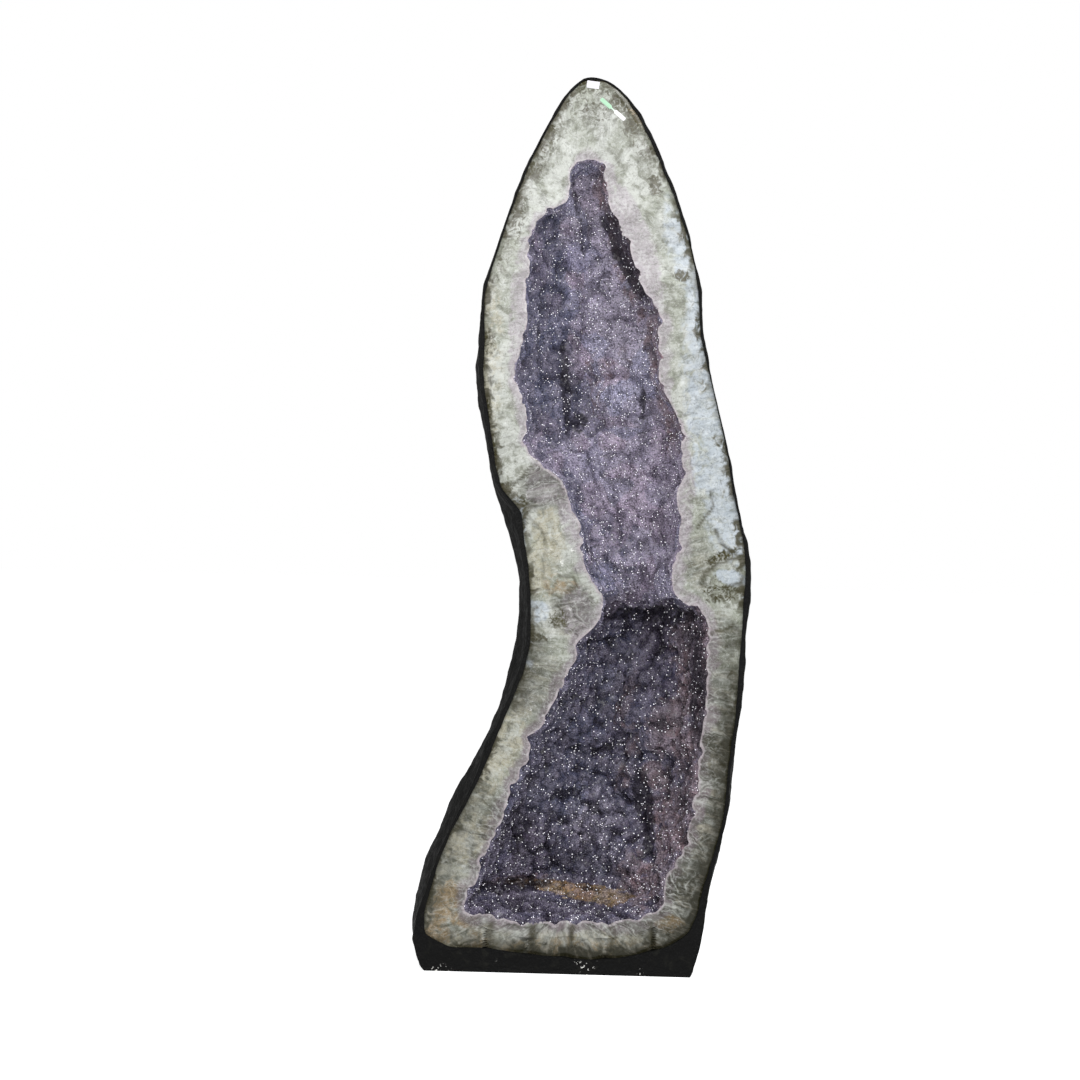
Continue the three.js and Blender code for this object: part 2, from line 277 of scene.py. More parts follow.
@dataclass(frozen=True)
class Columns:
    """Rays that leave the spine, one to each column of a piece's mesh."""

    EASE: ClassVar[int] = 20
    stations: np.ndarray
    feet: np.ndarray
    directions: np.ndarray
    reach: np.ndarray

    @classmethod
    def to(cls, outline: Outline, spine: Spine) -> "Columns":
        """Rays from the spine to points all round an outline, in directions that change evenly.

        Args:
            outline: the line that the columns end on.
            spine: the line that they start from.

        Returns:
            The columns, one for each point of the outline.
        """
        stations = spine.stations(outline.points)
        feet = spine.points[stations]
        gaps = outline.points - feet
        reach = np.linalg.norm(gaps, axis=1)
        directions = gaps / reach[:, None]
        for _ in range(cls.EASE):
            directions = np.roll(directions, 1, axis=0) + 2 * directions + np.roll(directions, -1, axis=0)
            directions /= np.linalg.norm(directions, axis=1)[:, None]
        return cls(stations, feet, directions, outline.crossings(feet, directions, reach)[:, 0])

    @property
    def count(self) -> int:
        """How many columns there are."""
        return len(self.feet)

    @property
    def ends(self) -> np.ndarray:
        """Where the columns end on their outline, as x and z."""
        return self.feet + self.directions * self.reach[:, None]


# ---------------------------------------------------------------- bowls


class Side(Enum):
    """Which side of a node's wall a bowl follows."""

    INNER = "seen from the spine"
    OUTER = "seen from outside"


@dataclass
class Bowl:
    """Follows a node's wall from the face to the ridge behind the spine."""

    node: Object
    side: Side
    columns: Columns
    below: float | None = None  # where set, the foot's underside is lowered to this height
    ANGLES: int = 44

    def cast(self) -> np.ndarray:
        """Finds the wall along every column.

        Returns:
            Places as an array of (row, column, coordinate). Row 0 is the first behind the face, and the
            last row is the ridge.
        """
        tree = BVHTree.FromPolygons(
            [tuple(p) for p in triangles_of(self.node).reshape(-1, 3)],
            [(3 * t, 3 * t + 1, 3 * t + 2) for t in range(len(triangles_of(self.node)))],
        )
        turns = np.radians(np.linspace(2, 90, self.ANGLES))
        places = np.empty((self.ANGLES, self.columns.count, 3))
        for k in range(self.columns.count):
            foot, flat = self.columns.feet[k], self.columns.directions[k]
            start = Vector((foot[0], FACE_Y, foot[1]))
            for j, turn in enumerate(turns):
                ray = Vector((flat[0] * math.cos(turn), math.sin(turn), flat[1] * math.cos(turn)))
                places[j, k] = self._hit(tree, start, ray)
        return places

    def _hit(self, tree: BVHTree, start: Vector, ray: Vector) -> Vector:
        """Where one ray meets the wall.

        Args:
            tree: the node, ready for casting.
            start: a place on the spine.
            ray: the direction to look in.

        Returns:
            The place on the chosen side of the wall, or one just off the spine where nothing is met.
        """
        far = 2.0
        if self.side is Side.INNER:
            hit = tree.ray_cast(start, ray, far)[0]
        else:
            hit = tree.ray_cast(start + ray * far, -ray, far)[0]
        if hit is None:
            hit = start + ray * 0.1
        if self.below is not None and hit.z < 0.05 * MM:
            hit.z = self.below
        return hit


def rows_along(places: np.ndarray, rows: int) -> np.ndarray:
    """Spaces each column's points evenly along their length.

    Args:
        places: an array of (row, column, coordinate).
        rows: how many rows to return, with both ends.

    Returns:
        The same array with its new rows.
    """
    steps = np.linalg.norm(np.diff(places, axis=0), axis=2)
    run = np.vstack([np.zeros(places.shape[1]), np.cumsum(steps, axis=0)])
    even = np.linspace(0, 1, rows)
    spaced = np.empty((rows, *places.shape[1:]))
    for k in range(places.shape[1]):
        for axis in range(3):
            spaced[:, k, axis] = np.interp(even * run[-1, k], run[:, k], places[:, k, axis])
    return spaced


def eased(places: np.ndarray, passes: int, held: int = 1) -> np.ndarray:
    """Smooths a grid of points, which closes on itself across its columns.

    Args:
        places: an array of (row, column, coordinate).
        passes: how often each point moves towards its neighbours.
        held: how many rows at the start stay as they are. The last row stays too.

    Returns:
        The smoothed array.
    """
    places = places.copy()
    for _ in range(passes):
        near = (
            np.roll(places, 1, axis=1)[held:-1]
            + np.roll(places, -1, axis=1)[held:-1]
            + places[held - 1 : -2]
            + places[held + 1 :]
        )
        places[held:-1] = places[held:-1] * 0.4 + near * 0.15
    return places


# ---------------------------------------------------------------- meshes


@dataclass
class Loft:
    """A mesh of rings that all have one point to a column."""

    rows: np.ndarray  # (row, column, coordinate), in the order outside to inside
    stations: np.ndarray
    ridges: tuple[bool, bool] = (False, False)  # whether the first and the last row close on a ridge
    looped: bool = False  # whether the last ring joins the first
    points: np.ndarray = field(init=False)
    faces: list[list[int]] = field(init=False)

    def __post_init__(self) -> None:
        """Joins the rings with faces that point outwards."""
        first, last = (int(ridge) for ridge in self.ridges)
        body = self.rows[first : len(self.rows) - last]
        count = self.rows.shape[1]
        here = np.arange(count)
        there = (here + 1) % count
        pairs = [(r, r + 1) for r in range(len(body) - 1)] + ([(len(body) - 1, 0)] if self.looped else [])
        quads = [
            np.stack([a * count + here, a * count + there, b * count + there, b * count + here], axis=1)
            for a, b in pairs
        ]
        self.faces = np.vstack(quads).tolist()
        self.points = body.reshape(-1, 3)
        self.body_rows = len(body)
        if first:
            self._close(self.rows[0], 0, True)
        if last:
            self._close(self.rows[-1], (len(body) - 1) * count, False)

    def _close(self, row: np.ndarray, ring: int, outside: bool) -> None:
        """Adds a ridge and the faces that join it to a ring.

        Args:
            row: the ridge's place in each column.
            ring: the index of the ring's first point.
            outside: whether the ridge comes before the ring.
        """
        used, place = np.unique(self.stations, return_inverse=True)
        crest = np.array([row[place == s].mean(axis=0) for s in range(len(used))])
        base, count = len(self.points), self.rows.shape[1]
        self.points = np.vstack([self.points, crest])
        for a in range(count):
            b = (a + 1) % count
            fan = [[ring + a, ring + b, base + place[a]]]
            step = int(np.sign(place[b] - place[a]))
            for s in range(place[a], place[b], step or 1):
                fan.append([ring + b, base + s + step, base + s])
            self.faces += [face[::-1] if outside else face for face in fan]


def mesh_object(
    name: str,
    points: np.ndarray,
    faces: list[list[int]],
    values: dict[str, np.ndarray] | None = None,
    smooth: bool = True,
) -> Object:
    """Makes a mesh object.

    Args:
        name: the piece's name.
        points: its places.
        faces: the point numbers of each face.
        values: named numbers, one to a point, or two for a map of places on the surface.
        smooth: whether its faces are shaded smooth.

    Returns:
        The object, linked to the scene.
    """
    mesh = bpy.data.meshes.new(name)
    mesh.from_pydata(points.tolist(), [], faces)
    mesh.polygons.foreach_set("use_smooth", np.full(len(faces), smooth))
    for key, value in (values or {}).items():
        if value.ndim == 2:
            corners = np.empty(len(mesh.loops), dtype=np.int64)
            mesh.loops.foreach_get("vertex_index", corners)
            mesh.uv_layers.new(name=key).data.foreach_set("uv", value[corners].astype(np.float32).ravel())
        else:
            mesh.attributes.new(key, "FLOAT", "POINT").data.foreach_set("value", value.astype(np.float32))
    mesh.update()
    if smooth:
        mesh.set_sharp_from_angle(angle=SHARP)
    piece = bpy.data.objects.new(name, mesh)
    bpy.context.scene.collection.objects.link(piece)
    return piece


def normals_of(points: np.ndarray, faces: list[list[int]]) -> np.ndarray:
    """The direction in which each point of a mesh faces.

    Args:
        points: the points of the mesh.
        faces: its faces, as lists of point numbers.

    Returns:
        One direction of length 1 for each point.
    """
    mesh = bpy.data.meshes.new("probe")
    mesh.from_pydata(points.tolist(), [], faces)
    found = np.empty(3 * len(points))
    mesh.vertex_normals.foreach_get("vector", found)
    bpy.data.meshes.remove(mesh)
    return found.reshape(-1, 3)


@dataclass(frozen=True)
class Lumps:
    """Rounded lumps that crowd together over a surface."""

    pitch: float
    height: float
    seed: int
    smallest: float = 0.5  # a lump's radius as a share of the pitch
    largest: float = 0.95
    NEIGHBOURS: ClassVar[int] = 5  # how many lumps may reach one place

    def over(self, points: np.ndarray) -> tuple[np.ndarray, np.ndarray]:
        """How far the lumps stand out of a surface, and which shade each one has.

        Args:
            points: places on the surface.

        Returns:
            One height for each place, 0 in the creases between lumps, and the shade of its lump from 0 to 1.
        """
        chance = np.random.default_rng(self.seed)
        order = chance.permutation(len(points))
        cells = np.floor(points[order] / self.pitch).astype(np.int64)
        centres = points[order][np.unique(cells, axis=0, return_index=True)[1]]
        radii = self.pitch * chance.uniform(self.smallest, self.largest, len(centres))
        shades = chance.uniform(size=len(centres))
        tree = KDTree(len(centres))
        for k, centre in enumerate(centres):
            tree.insert(centre, k)
        tree.balance()
        heights, shade = np.zeros(len(points)), np.zeros(len(points))
        for k, point in enumerate(points):
            rises = (((radii[i] ** 2 - gap**2) / radii[i] ** 2, i) for _, i, gap in tree.find_n(point, self.NEIGHBOURS))
            heights[k], top = max(rises)
            shade[k] = shades[top]
        return self.height * np.sqrt(np.clip(heights, 0, 1)), shade


@dataclass(frozen=True)
class Mound:
    """A rounded mass on the hollow's back wall: its middle, half width, half height, rise and tilt in degrees."""

    x: float
    z: float
    half_width: float
    half_height: float
    rise: float
    tilt: float = 0.0  # anticlockwise

    def over(self, places: np.ndarray) -> np.ndarray:
        """How far the mass stands out of the wall at each place, with a steep, wavy border.

        Args:
            places: places on the wall.

        Returns:
            One height for each place.
        """
        turn = math.radians(self.tilt)
        x, z = places[:, 0] - self.x, places[:, 2] - self.z
        across = (x * math.cos(turn) + z * math.sin(turn)) / self.half_width
        up = (z * math.cos(turn) - x * math.sin(turn)) / self.half_height
        gap = np.hypot(across, up) + 0.16 * grain(places, 26 * MM, 73, 2)
        return self.rise * np.clip(1 - gap**2, 0, 1) ** 0.4


# ---------------------------------------------------------------- the sawn face


@dataclass
class SawnFace:
    """The border lines of the sawn face and the columns that its pieces share."""

    COLUMNS: int = 800
    EASE: float = 5 * MM
    CORNER: float = 3.5 * MM  # over which the outer edge's corners are worn round
    FLOW: float = 12 * MM  # over which the rest of the outer edge is smoothed
    FOOT_ROUND: float = 15 * MM  # the radius of the foot's two lower corners

    def __post_init__(self) -> None:
        """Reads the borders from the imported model."""
        coat = face_outlines(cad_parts["black_coat_and_foot"])
        druse = face_outlines(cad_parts["amethyst_druse"])
        self.stone, self.quartz = self._worn(coat[0]), coat[1].spaced(1400, self.EASE)
        self.druse = druse[0].spaced(1400, self.EASE)
        self.rim = druse[1].spaced(self.COLUMNS, self.EASE)
        self.spine = Spine(self.rim)
        self.columns = Columns.to(self.rim, self.spine)

    def _worn(self, edge: Outline) -> Outline:
        """Rounds the outer edge, and lets it run a little way under the foot, which is cut flat later.

        Args:
            edge: the outer edge of the sawn face as it was read.

        Returns:
            The edge with soft corners.
        """
        crisp, smooth = (edge.spaced(2400, ease).points for ease in (self.CORNER, self.FLOW))
        x, z = (crisp + (smooth - crisp) * smoothstep(crisp[:, 1:], 0.08, 0.14)).T
        level = np.abs(z - self.FOOT_ROUND) < 2 * MM
        drop = self.FOOT_ROUND - np.clip(z, 0, self.FOOT_ROUND)
        inset = self.FOOT_ROUND - np.sqrt(self.FOOT_ROUND**2 - drop**2)
        low = z < self.FOOT_ROUND
        x = np.where(low, np.clip(x, x[level].min() + inset, x[level].max() - inset), x)
        side = low & (z > MM)
        x = np.where(side & (x > 0), x[level].max() - inset, np.where(side & (x < 0), x[level].min() + inset, x))
        z = z - 3 * MM * (1 - smoothstep(z, 0.5 * MM, 6 * MM))
        return Outline(np.stack([x, z], axis=1))

    def fibre(self, rows: int, across: np.ndarray) -> np.ndarray:
        """A map for the quartz's fibres: along the rim, and across the band from the coat.

        Args:
            rows: how many rings of columns the map covers.
            across: each point's way from the coat.

        Returns:
            Two lengths for each point.
        """
        steps = np.linalg.norm(np.diff(self.druse.points, axis=0, append=self.druse.points[:1]), axis=1)
        along = np.linspace(0, steps.sum(), self.COLUMNS, endpoint=False)
        return np.stack([np.tile(along, rows), across], axis=1)

    def coat_line(self, columns: Columns, line: np.ndarray) -> np.ndarray:
        """The border between the quartz and the coat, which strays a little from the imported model's.

        Args:
            columns: the columns of the mesh that follows it.
            line: where they meet the border, as x and z.

        Returns:
            The border's places.
        """
        x, z = line.T
        right = smoothstep(x, -20 * MM, 20 * MM) * smoothstep(z, 0.60, 0.80)
        thinned = (0.55 * right + 0.25 * smoothstep(z, 1.42, 1.47)) * self.distance(self.stone, at_depth(line))
        stray = 1.3 * MM * grain(at_depth(line), 26 * MM, 11, 3)
        return line + columns.directions * (stray + thinned)[:, None]

    @staticmethod
    def distance(line: Outline, places: np.ndarray) -> np.ndarray:
        """How far places on the face are from a border line.

        Args:
            line: the border line.
            places: places on the face.

        Returns:
            One length for each place.
        """
        dense = line.spaced(6000, 0.1 * MM).points
        tree = KDTree(len(dense))
        for k, (x, z) in enumerate(dense):
            tree.insert((x, 0, z), k)
        tree.balance()
        return np.array([tree.find((x, 0, z))[2] for x, _, z in places])

    def relief(self, places: np.ndarray) -> np.ndarray:
        """How deep the polished face dips, by place. It stays flat round the stickers."""
        z = places[:, 2]
        dip = 0.9 * MM * (1 + grain(places, 70 * MM, 3)) + 0.5 * MM * (1 + grain(places, 16 * MM, 5, 2))
        return dip * (1 - smoothstep(z, 1.36, 1.40))


@dataclass(frozen=True)
class Patch:
    """A soft-edged spot on the stone: its middle, half width, half height, strength and tilt in degrees."""

    x: float
    z: float
    half_width: float
    half_height: float
    strength: float = 1.0
    tilt: float = 0.0  # anticlockwise

    def over(self, places: np.ndarray) -> np.ndarray:
        """How strongly the spot covers each place. Its edge strays like a stain's.

        Args:
            places: places on the stone.

        Returns:
            One strength for each place, 0 where the spot doesn't reach.
        """
        stray = 0.20 * grain(places, 30 * MM, 71, 3)
        turn = math.radians(self.tilt)
        x, z = places[:, 0] - self.x, places[:, 2] - self.z
        across = (x * math.cos(turn) + z * math.sin(turn)) / self.half_width
        up = (z * math.cos(turn) - x * math.sin(turn)) / self.half_height
        return self.strength * (1 - smoothstep(np.hypot(across, up) + stray, 0.6, 1.3))


def covered(patches: Sequence[Patch], places: np.ndarray) -> np.ndarray:
    """The strongest of several spots at each place."""
    return np.max([patch.over(places) for patch in patches], axis=0)


@dataclass(frozen=True)
class Crack:
    """A thin line over the stone, through a row of places given as x and z."""

    points: tuple[tuple[float, float], ...]
    width: float = 1.4 * MM
    strength: float = 1.0

    def over(self, places: np.ndarray) -> np.ndarray:
        """How strongly the line shows at each place. It strays like a healed crack.

        Args:
            places: places on the stone.

        Returns:
            One strength for each place, 0 where the line doesn't reach.
        """
        stray = np.stack([grain(places, 22 * MM, seed, 2) for seed in (81, 82)], axis=1)
        flat = places[:, (0, 2)] + 3.5 * MM * stray
        gaps = []
        for start, end in zip(np.array(self.points), np.array(self.points[1:])):
            run = end - start
            share = np.clip((flat - start) @ run / (run @ run), 0, 1)
            gaps.append(np.linalg.norm(flat - start - share[:, None] * run, axis=1))
        return self.strength * (1 - smoothstep(np.min(gaps, axis=0), self.width * 0.4, self.width * 1.8))


@dataclass(frozen=True)
class StoneTones:
    """Where the milky stone is tinted, for every piece that shows it on the sawn face."""

    # bluish patches: the stone's own tint on the left, a painted sheen of the bluish window light down the right band
    blue: tuple[Patch, ...] = (
        Patch(0.222, 0.90, 0.050, 0.22, 0.9, 9),
        Patch(0.196, 1.04, 0.040, 0.12, 0.9, 12),
        Patch(0.158, 1.19, 0.026, 0.10, 0.8, 18),
        Patch(0.188, 0.90, 0.024, 0.12, 0.8, 9),
        Patch(0.250, 0.666, 0.030, 0.013, 1.6, -14),
        Patch(0.262, 0.735, 0.014, 0.070, 1.0, 8),
        Patch(-0.084, 0.600, 0.026, 0.022, 1.2),
        Patch(-0.112, 0.735, 0.012, 0.062, 1.2, 4),
        Patch(-0.088, 0.535, 0.010, 0.030, 0.6),
    )
    straw: tuple[Patch, ...] = (
        Patch(-0.064, 0.705, 0.030, 0.075, 0.9),
        Patch(-0.165, 1.02, 0.022, 0.14, 0.5),
        Patch(0.178, 1.165, 0.018, 0.050, 0.8, 18),
        Patch(0.212, 0.955, 0.020, 0.022, 0.9),
        Patch(-0.235, 0.13, 0.040, 0.050, 0.6),
        Patch(-0.02, 0.050, 0.190, 0.030, 1.0),
        Patch(-0.082, 0.655, 0.018, 0.030, 1.0),
        Patch(-0.150, 0.060, 0.034, 0.022, 1.2),
        Patch(0.215, 0.815, 0.020, 0.060, 0.5),
        Patch(-0.128, 0.37, 0.030, 0.10, 0.7, -25),
        Patch(-0.190, 0.22, 0.028, 0.05, 0.6, -20),
        Patch(-0.158, 0.225, 0.018, 0.05, 0.6, -20),
    )
    stain: tuple[Patch, ...] = (
        Patch(-0.212, 0.118, 0.024, 0.040, 0.9, -20),
        Patch(-0.230, 0.064, 0.024, 0.020, 0.8),
        Patch(-0.030, 0.645, 0.018, 0.012, 0.7),
        Patch(-0.010, 0.042, 0.180, 0.022, 0.42),
        Patch(-0.158, 0.045, 0.014, 0.026, 0.9, 30),
        Patch(-0.185, 0.085, 0.026, 0.012, 0.8),
        Patch(0.158, 0.088, 0.024, 0.014, 0.8),
        Patch(0.072, 1.430, 0.012, 0.030, 0.8, 35),
        Patch(-0.045, 0.648, 0.022, 0.020, 0.5),
    )
    olive: tuple[Patch, ...] = (
        Patch(-0.006, 1.492, 0.050, 0.014, 1.1),
        Patch(0.000, 1.458, 0.075, 0.040, 0.42),
        Patch(0.070, 1.395, 0.020, 0.060, 0.45, 30),
        Patch(-0.085, 1.370, 0.020, 0.070, 0.45, -25),
        Patch(-0.135, 1.220, 0.014, 0.090, 0.40, -18),
        Patch(0.046, 1.448, 0.020, 0.026, 0.9, 38),
        Patch(0.058, 1.412, 0.018, 0.014, 1.2, 20),
        Patch(-0.075, 1.397, 0.011, 0.016, 1.2, -15),
        Patch(-0.101, 1.336, 0.014, 0.019, 1.2, -25),
        Patch(-0.126, 1.265, 0.010, 0.024, 0.9, -20),
        Patch(0.099, 1.316, 0.012, 0.022, 1.2, 15),
        Patch(0.148, 1.166, 0.013, 0.009, 1.2, -10),
        Patch(-0.168, 1.048, 0.011, 0.022, 0.9),
        Patch(-0.170, 0.935, 0.009, 0.030, 1.0),
        Patch(-0.160, 0.855, 0.011, 0.040, 1.1, 8),
        Patch(-0.138, 0.805, 0.016, 0.012, 1.3),
        Patch(-0.108, 0.782, 0.010, 0.018, 0.9, 20),
        Patch(0.228, 0.702, 0.028, 0.008, 1.1, 25),
        Patch(0.238, 0.640, 0.026, 0.014, 0.9, 12),
        Patch(0.215, 0.648, 0.014, 0.020, 0.6, -10),
        Patch(-0.040, 0.590, 0.020, 0.018, 0.8),
        Patch(-0.078, 0.560, 0.022, 0.008, 1.0, -15),
        Patch(-0.090, 0.500, 0.020, 0.012, 0.6),
    )
    lilac: tuple[Patch, ...] = (
        Patch(0.075, 1.215, 0.024, 0.120, 1.2, 22),
        Patch(-0.070, 0.815, 0.030, 0.038, 1.1),
        Patch(-0.030, 0.760, 0.016, 0.050, 0.9, 12),
        Patch(0.160, 0.810, 0.020, 0.120, 0.8),
        Patch(-0.124, 1.080, 0.014, 0.120, 0.8),
        Patch(-0.012, 0.600, 0.026, 0.045, 0.9),
        Patch(0.190, 0.600, 0.024, 0.020, 0.6),
        Patch(-0.066, 0.395, 0.024, 0.060, 0.6, -20),
        Patch(-0.060, 0.075, 0.120, 0.014, 0.9),
        Patch(0.070, 0.082, 0.070, 0.014, 0.8),
    )
    murky: tuple[Patch, ...] = (
        Patch(0.235, 0.24, 0.060, 0.30, 0.95),
        Patch(0.215, 0.570, 0.060, 0.040, 0.6),
        Patch(-0.085, 0.500, 0.050, 0.080, 0.5),
        Patch(-0.200, 0.200, 0.090, 0.140, 0.5),
        Patch(0.070, 0.055, 0.260, 0.050, 1.0),
        Patch(-0.060, 0.815, 0.050, 0.045, 0.9),
        Patch(0.185, 0.130, 0.070, 0.090, 1.0),
        Patch(-0.018, 0.600, 0.034, 0.045, 0.75),
        Patch(-0.155, 0.230, 0.022, 0.070, 0.8, -20),
        Patch(0.187, 0.690, 0.022, 0.050, 0.45),
    )
    cracks: tuple[Crack, ...] = (
        Crack(((0.185, 0.585), (0.262, 0.620))),
        Crack(((0.196, 0.452), (0.262, 0.470))),
        Crack(((-0.090, 0.547), (-0.010, 0.548))),
        Crack(((-0.150, 0.415), (-0.075, 0.432))),
        Crack(((0.160, 0.928), (0.232, 0.936))),
        Crack(((-0.190, 0.300), (-0.118, 0.285))),
        Crack(((-0.235, 0.190), (-0.165, 0.168))),
        Crack(((0.165, 0.155), (0.225, 0.150)), 0.8 * MM),
        Crack(((-0.112, 0.700), (-0.052, 0.655))),
        Crack(((-0.110, 0.632), (-0.040, 0.638))),
        Crack(((-0.153, 0.020), (-0.150, 0.088)), 1.8 * MM, 1.2),
        Crack(((-0.082, 0.020), (-0.078, 0.088)), 2.2 * MM, 1.2),
        Crack(((-0.018, 0.020), (-0.013, 0.090)), 2.6 * MM, 1.2),
        Crack(((0.049, 0.020), (0.051, 0.088)), 2.6 * MM, 1.2),
        Crack(((-0.176, 0.058), (-0.160, 0.066)), 9 * MM, 0.5),
        Crack(((-0.134, 0.060), (-0.100, 0.064)), 11 * MM, 0.85),
        Crack(((-0.052, 0.064), (-0.030, 0.062)), 10 * MM, 0.7),
        Crack(((0.014, 0.066), (0.036, 0.062)), 10 * MM, 0.6),
        Crack(((0.078, 0.064), (0.108, 0.068)), 10 * MM, 0.6),
        Crack(((-0.086, 0.574), (-0.052, 0.560), (-0.019, 0.561)), 1.6 * MM),
        Crack(((-0.098, 0.612), (-0.082, 0.600), (-0.086, 0.585), (-0.070, 0.578)), 2.2 * MM),
        Crack(((-0.076, 0.618), (-0.068, 0.600), (-0.072, 0.590)), 1.8 * MM),
        Crack(((-0.030, 0.639), (-0.020, 0.646), (-0.024, 0.657), (-0.038, 0.656), (-0.041, 0.646), (-0.030, 0.639)), 1.4 * MM),
        Crack(((-0.125, 0.800), (-0.119, 0.815), (-0.110, 0.838)), 1.5 * MM, 1.5),
        Crack(((-0.043, 0.708), (-0.022, 0.689), (-0.032, 0.664), (-0.052, 0.672)), 1.6 * MM),
        Crack(((0.216, 0.745), (0.226, 0.727), (0.251, 0.716)), 1.2 * MM),
    )
    veins: tuple[Crack, ...] = (
        Crack(((0.206, 0.811), (0.210, 0.782), (0.197, 0.766), (0.187, 0.746)), 2.2 * MM),
        Crack(
            ((0.217, 0.747), (0.223, 0.722), (0.248, 0.709), (0.250, 0.698), (0.219, 0.687), (0.199, 0.671), (0.195, 0.653)),
            2.6 * MM,
        ),
        Crack(((0.225, 0.650), (0.260, 0.658)), 2.0 * MM),
        Crack(((-0.103, 0.773), (-0.087, 0.749), (-0.066, 0.732), (-0.070, 0.690), (-0.064, 0.640)), 2.4 * MM, 0.55),
        Crack(((-0.059, 0.635), (-0.040, 0.626)), 2.4 * MM, 0.6),
        Crack(((-0.124, 0.808), (-0.100, 0.837), (-0.078, 0.857)), 1.8 * MM),
        Crack(((-0.089, 0.687), (-0.086, 0.637)), 2.0 * MM, 0.5),
        Crack(((0.194, 0.562), (0.251, 0.588)), 1.6 * MM),
        Crack(((-0.143, 0.020), (-0.141, 0.082)), 4.5 * MM, 0.85),
        Crack(((-0.072, 0.020), (-0.069, 0.080)), 5.0 * MM, 0.8),
        Crack(((-0.006, 0.020), (-0.003, 0.082)), 5.0 * MM, 0.85),
        Crack(((0.059, 0.020), (0.062, 0.080)), 5.5 * MM, 0.85),
        Crack(((0.134, 0.030), (0.124, 0.086)), 4.5 * MM, 0.8),
        Crack(((-0.105, 0.022), (-0.104, 0.050)), 3.0 * MM, 0.4),
        Crack(((-0.030, 0.632), (-0.013, 0.645), (-0.020, 0.663), (-0.042, 0.664), (-0.050, 0.647)), 2.0 * MM, 0.7),
        Crack(((-0.243, 0.082), (-0.228, 0.074), (-0.206, 0.078)), 1.6 * MM, 0.8),
        Crack(((-0.238, 0.066), (-0.229, 0.090)), 1.4 * MM, 0.7),
        Crack(((-0.225, 0.118), (-0.205, 0.098), (-0.196, 0.066)), 1.6 * MM, 0.6),
        Crack(((0.096, 0.022), (0.094, 0.060)), 3.0 * MM, 0.4),
    )

    def over(self, places: np.ndarray) -> dict[str, np.ndarray]:
        """How strongly each tint covers each place."""
        tints = {key: covered(getattr(self, key), places) for key in ("blue", "straw", "stain", "olive", "lilac", "murky")}
        return {**tints, "crack": covered(self.cracks, places), "vein": covered(self.veins, places)}


@dataclass
class QuartzBand:
    """The band of milky quartz, from the coat to the druse, with its polished face."""

    face: SawnFace
    rim: Outline  # the druse's own inner edge
    rows: int = 22
    wall: float = 45 * MM  # how deep its sides run behind the face
    name: str = "quartz_band_polished"
    seams: tuple[float, ...] = (-0.150, -0.079, -0.014, 0.051, 0.132)  # between the lobes of the foot's band

    def build(self) -> Object:
        """Makes the band as a closed ring of stone."""
        columns, face = self.face.columns, self.face
        outer = face.coat_line(columns, face.quartz.opposite(columns)) - columns.directions * SEAM
        inner = face.druse.opposite(columns) + columns.directions * HAIRLINE
        shares = np.linspace(0, 1, self.rows)
        front = [at_depth(outer + (inner - outer) * share) for share in shares]
        back = [at_depth(inner + columns.directions * MM, self.wall), at_depth(outer - columns.directions * 2 * MM, self.wall)]
        loft = Loft(np.array([*front, *back]), columns.stations, looped=True)
        width = np.linalg.norm(outer - inner, axis=1)
        across = np.concatenate([np.repeat(shares, columns.count), np.repeat([1.0, 0.0], columns.count)])
        on_face = np.arange(len(loft.points)) < self.rows * columns.count
        edge = face.distance(Outline(outer), loft.points)
        loft.points[:, 1] += np.where(on_face, face.relief(loft.points) + self._broken(loft.points, edge), 0)
        values = {
            "inset": face.distance(self.rim, loft.points),
            "edge": edge,
            "fibre": face.fibre(len(loft.rows), across * np.tile(width, len(loft.rows))),
            **StoneTones().over(loft.points),
        }
        return mesh_object(self.name, loft.points, loft.faces, values)

    def _broken(self, places: np.ndarray, edge: np.ndarray) -> np.ndarray:
        """How deep the face is chipped or rounded, by place.

        Args:
            places: places on the face.
            edge: how far each is from the coat.

        Returns:
            One depth for each place.
        """
        x, _, z = places.T
        seams = np.array([-1.0, *self.seams, 1.0])
        lobe = np.clip(np.searchsorted(seams, x), 1, len(seams) - 1)
        middle = (seams[lobe - 1] + seams[lobe]) / 2
        share = np.clip(np.abs(x - middle) / ((seams[lobe] - seams[lobe - 1]) / 2), 0, 1)
        share = np.where((lobe == 1) | (lobe == len(seams) - 1), 0.5, share)
        rounded = 13 * MM * (1 - np.sqrt(1 - share**2 * 0.98)) * (1 - smoothstep(z, 0.07, 0.10))
        bulge = Patch(-0.08, 0.69, 0.07, 0.12).over(places)
        steps = 3 * MM * bulge * smoothstep(grain(places * (1, 1, 0.5), 30 * MM, 9, 3), -0.1, 0.25)
        bevel = 2.0 * MM * (1 - smoothstep(edge, 0.0, 7 * MM))
        return rounded + steps + bevel


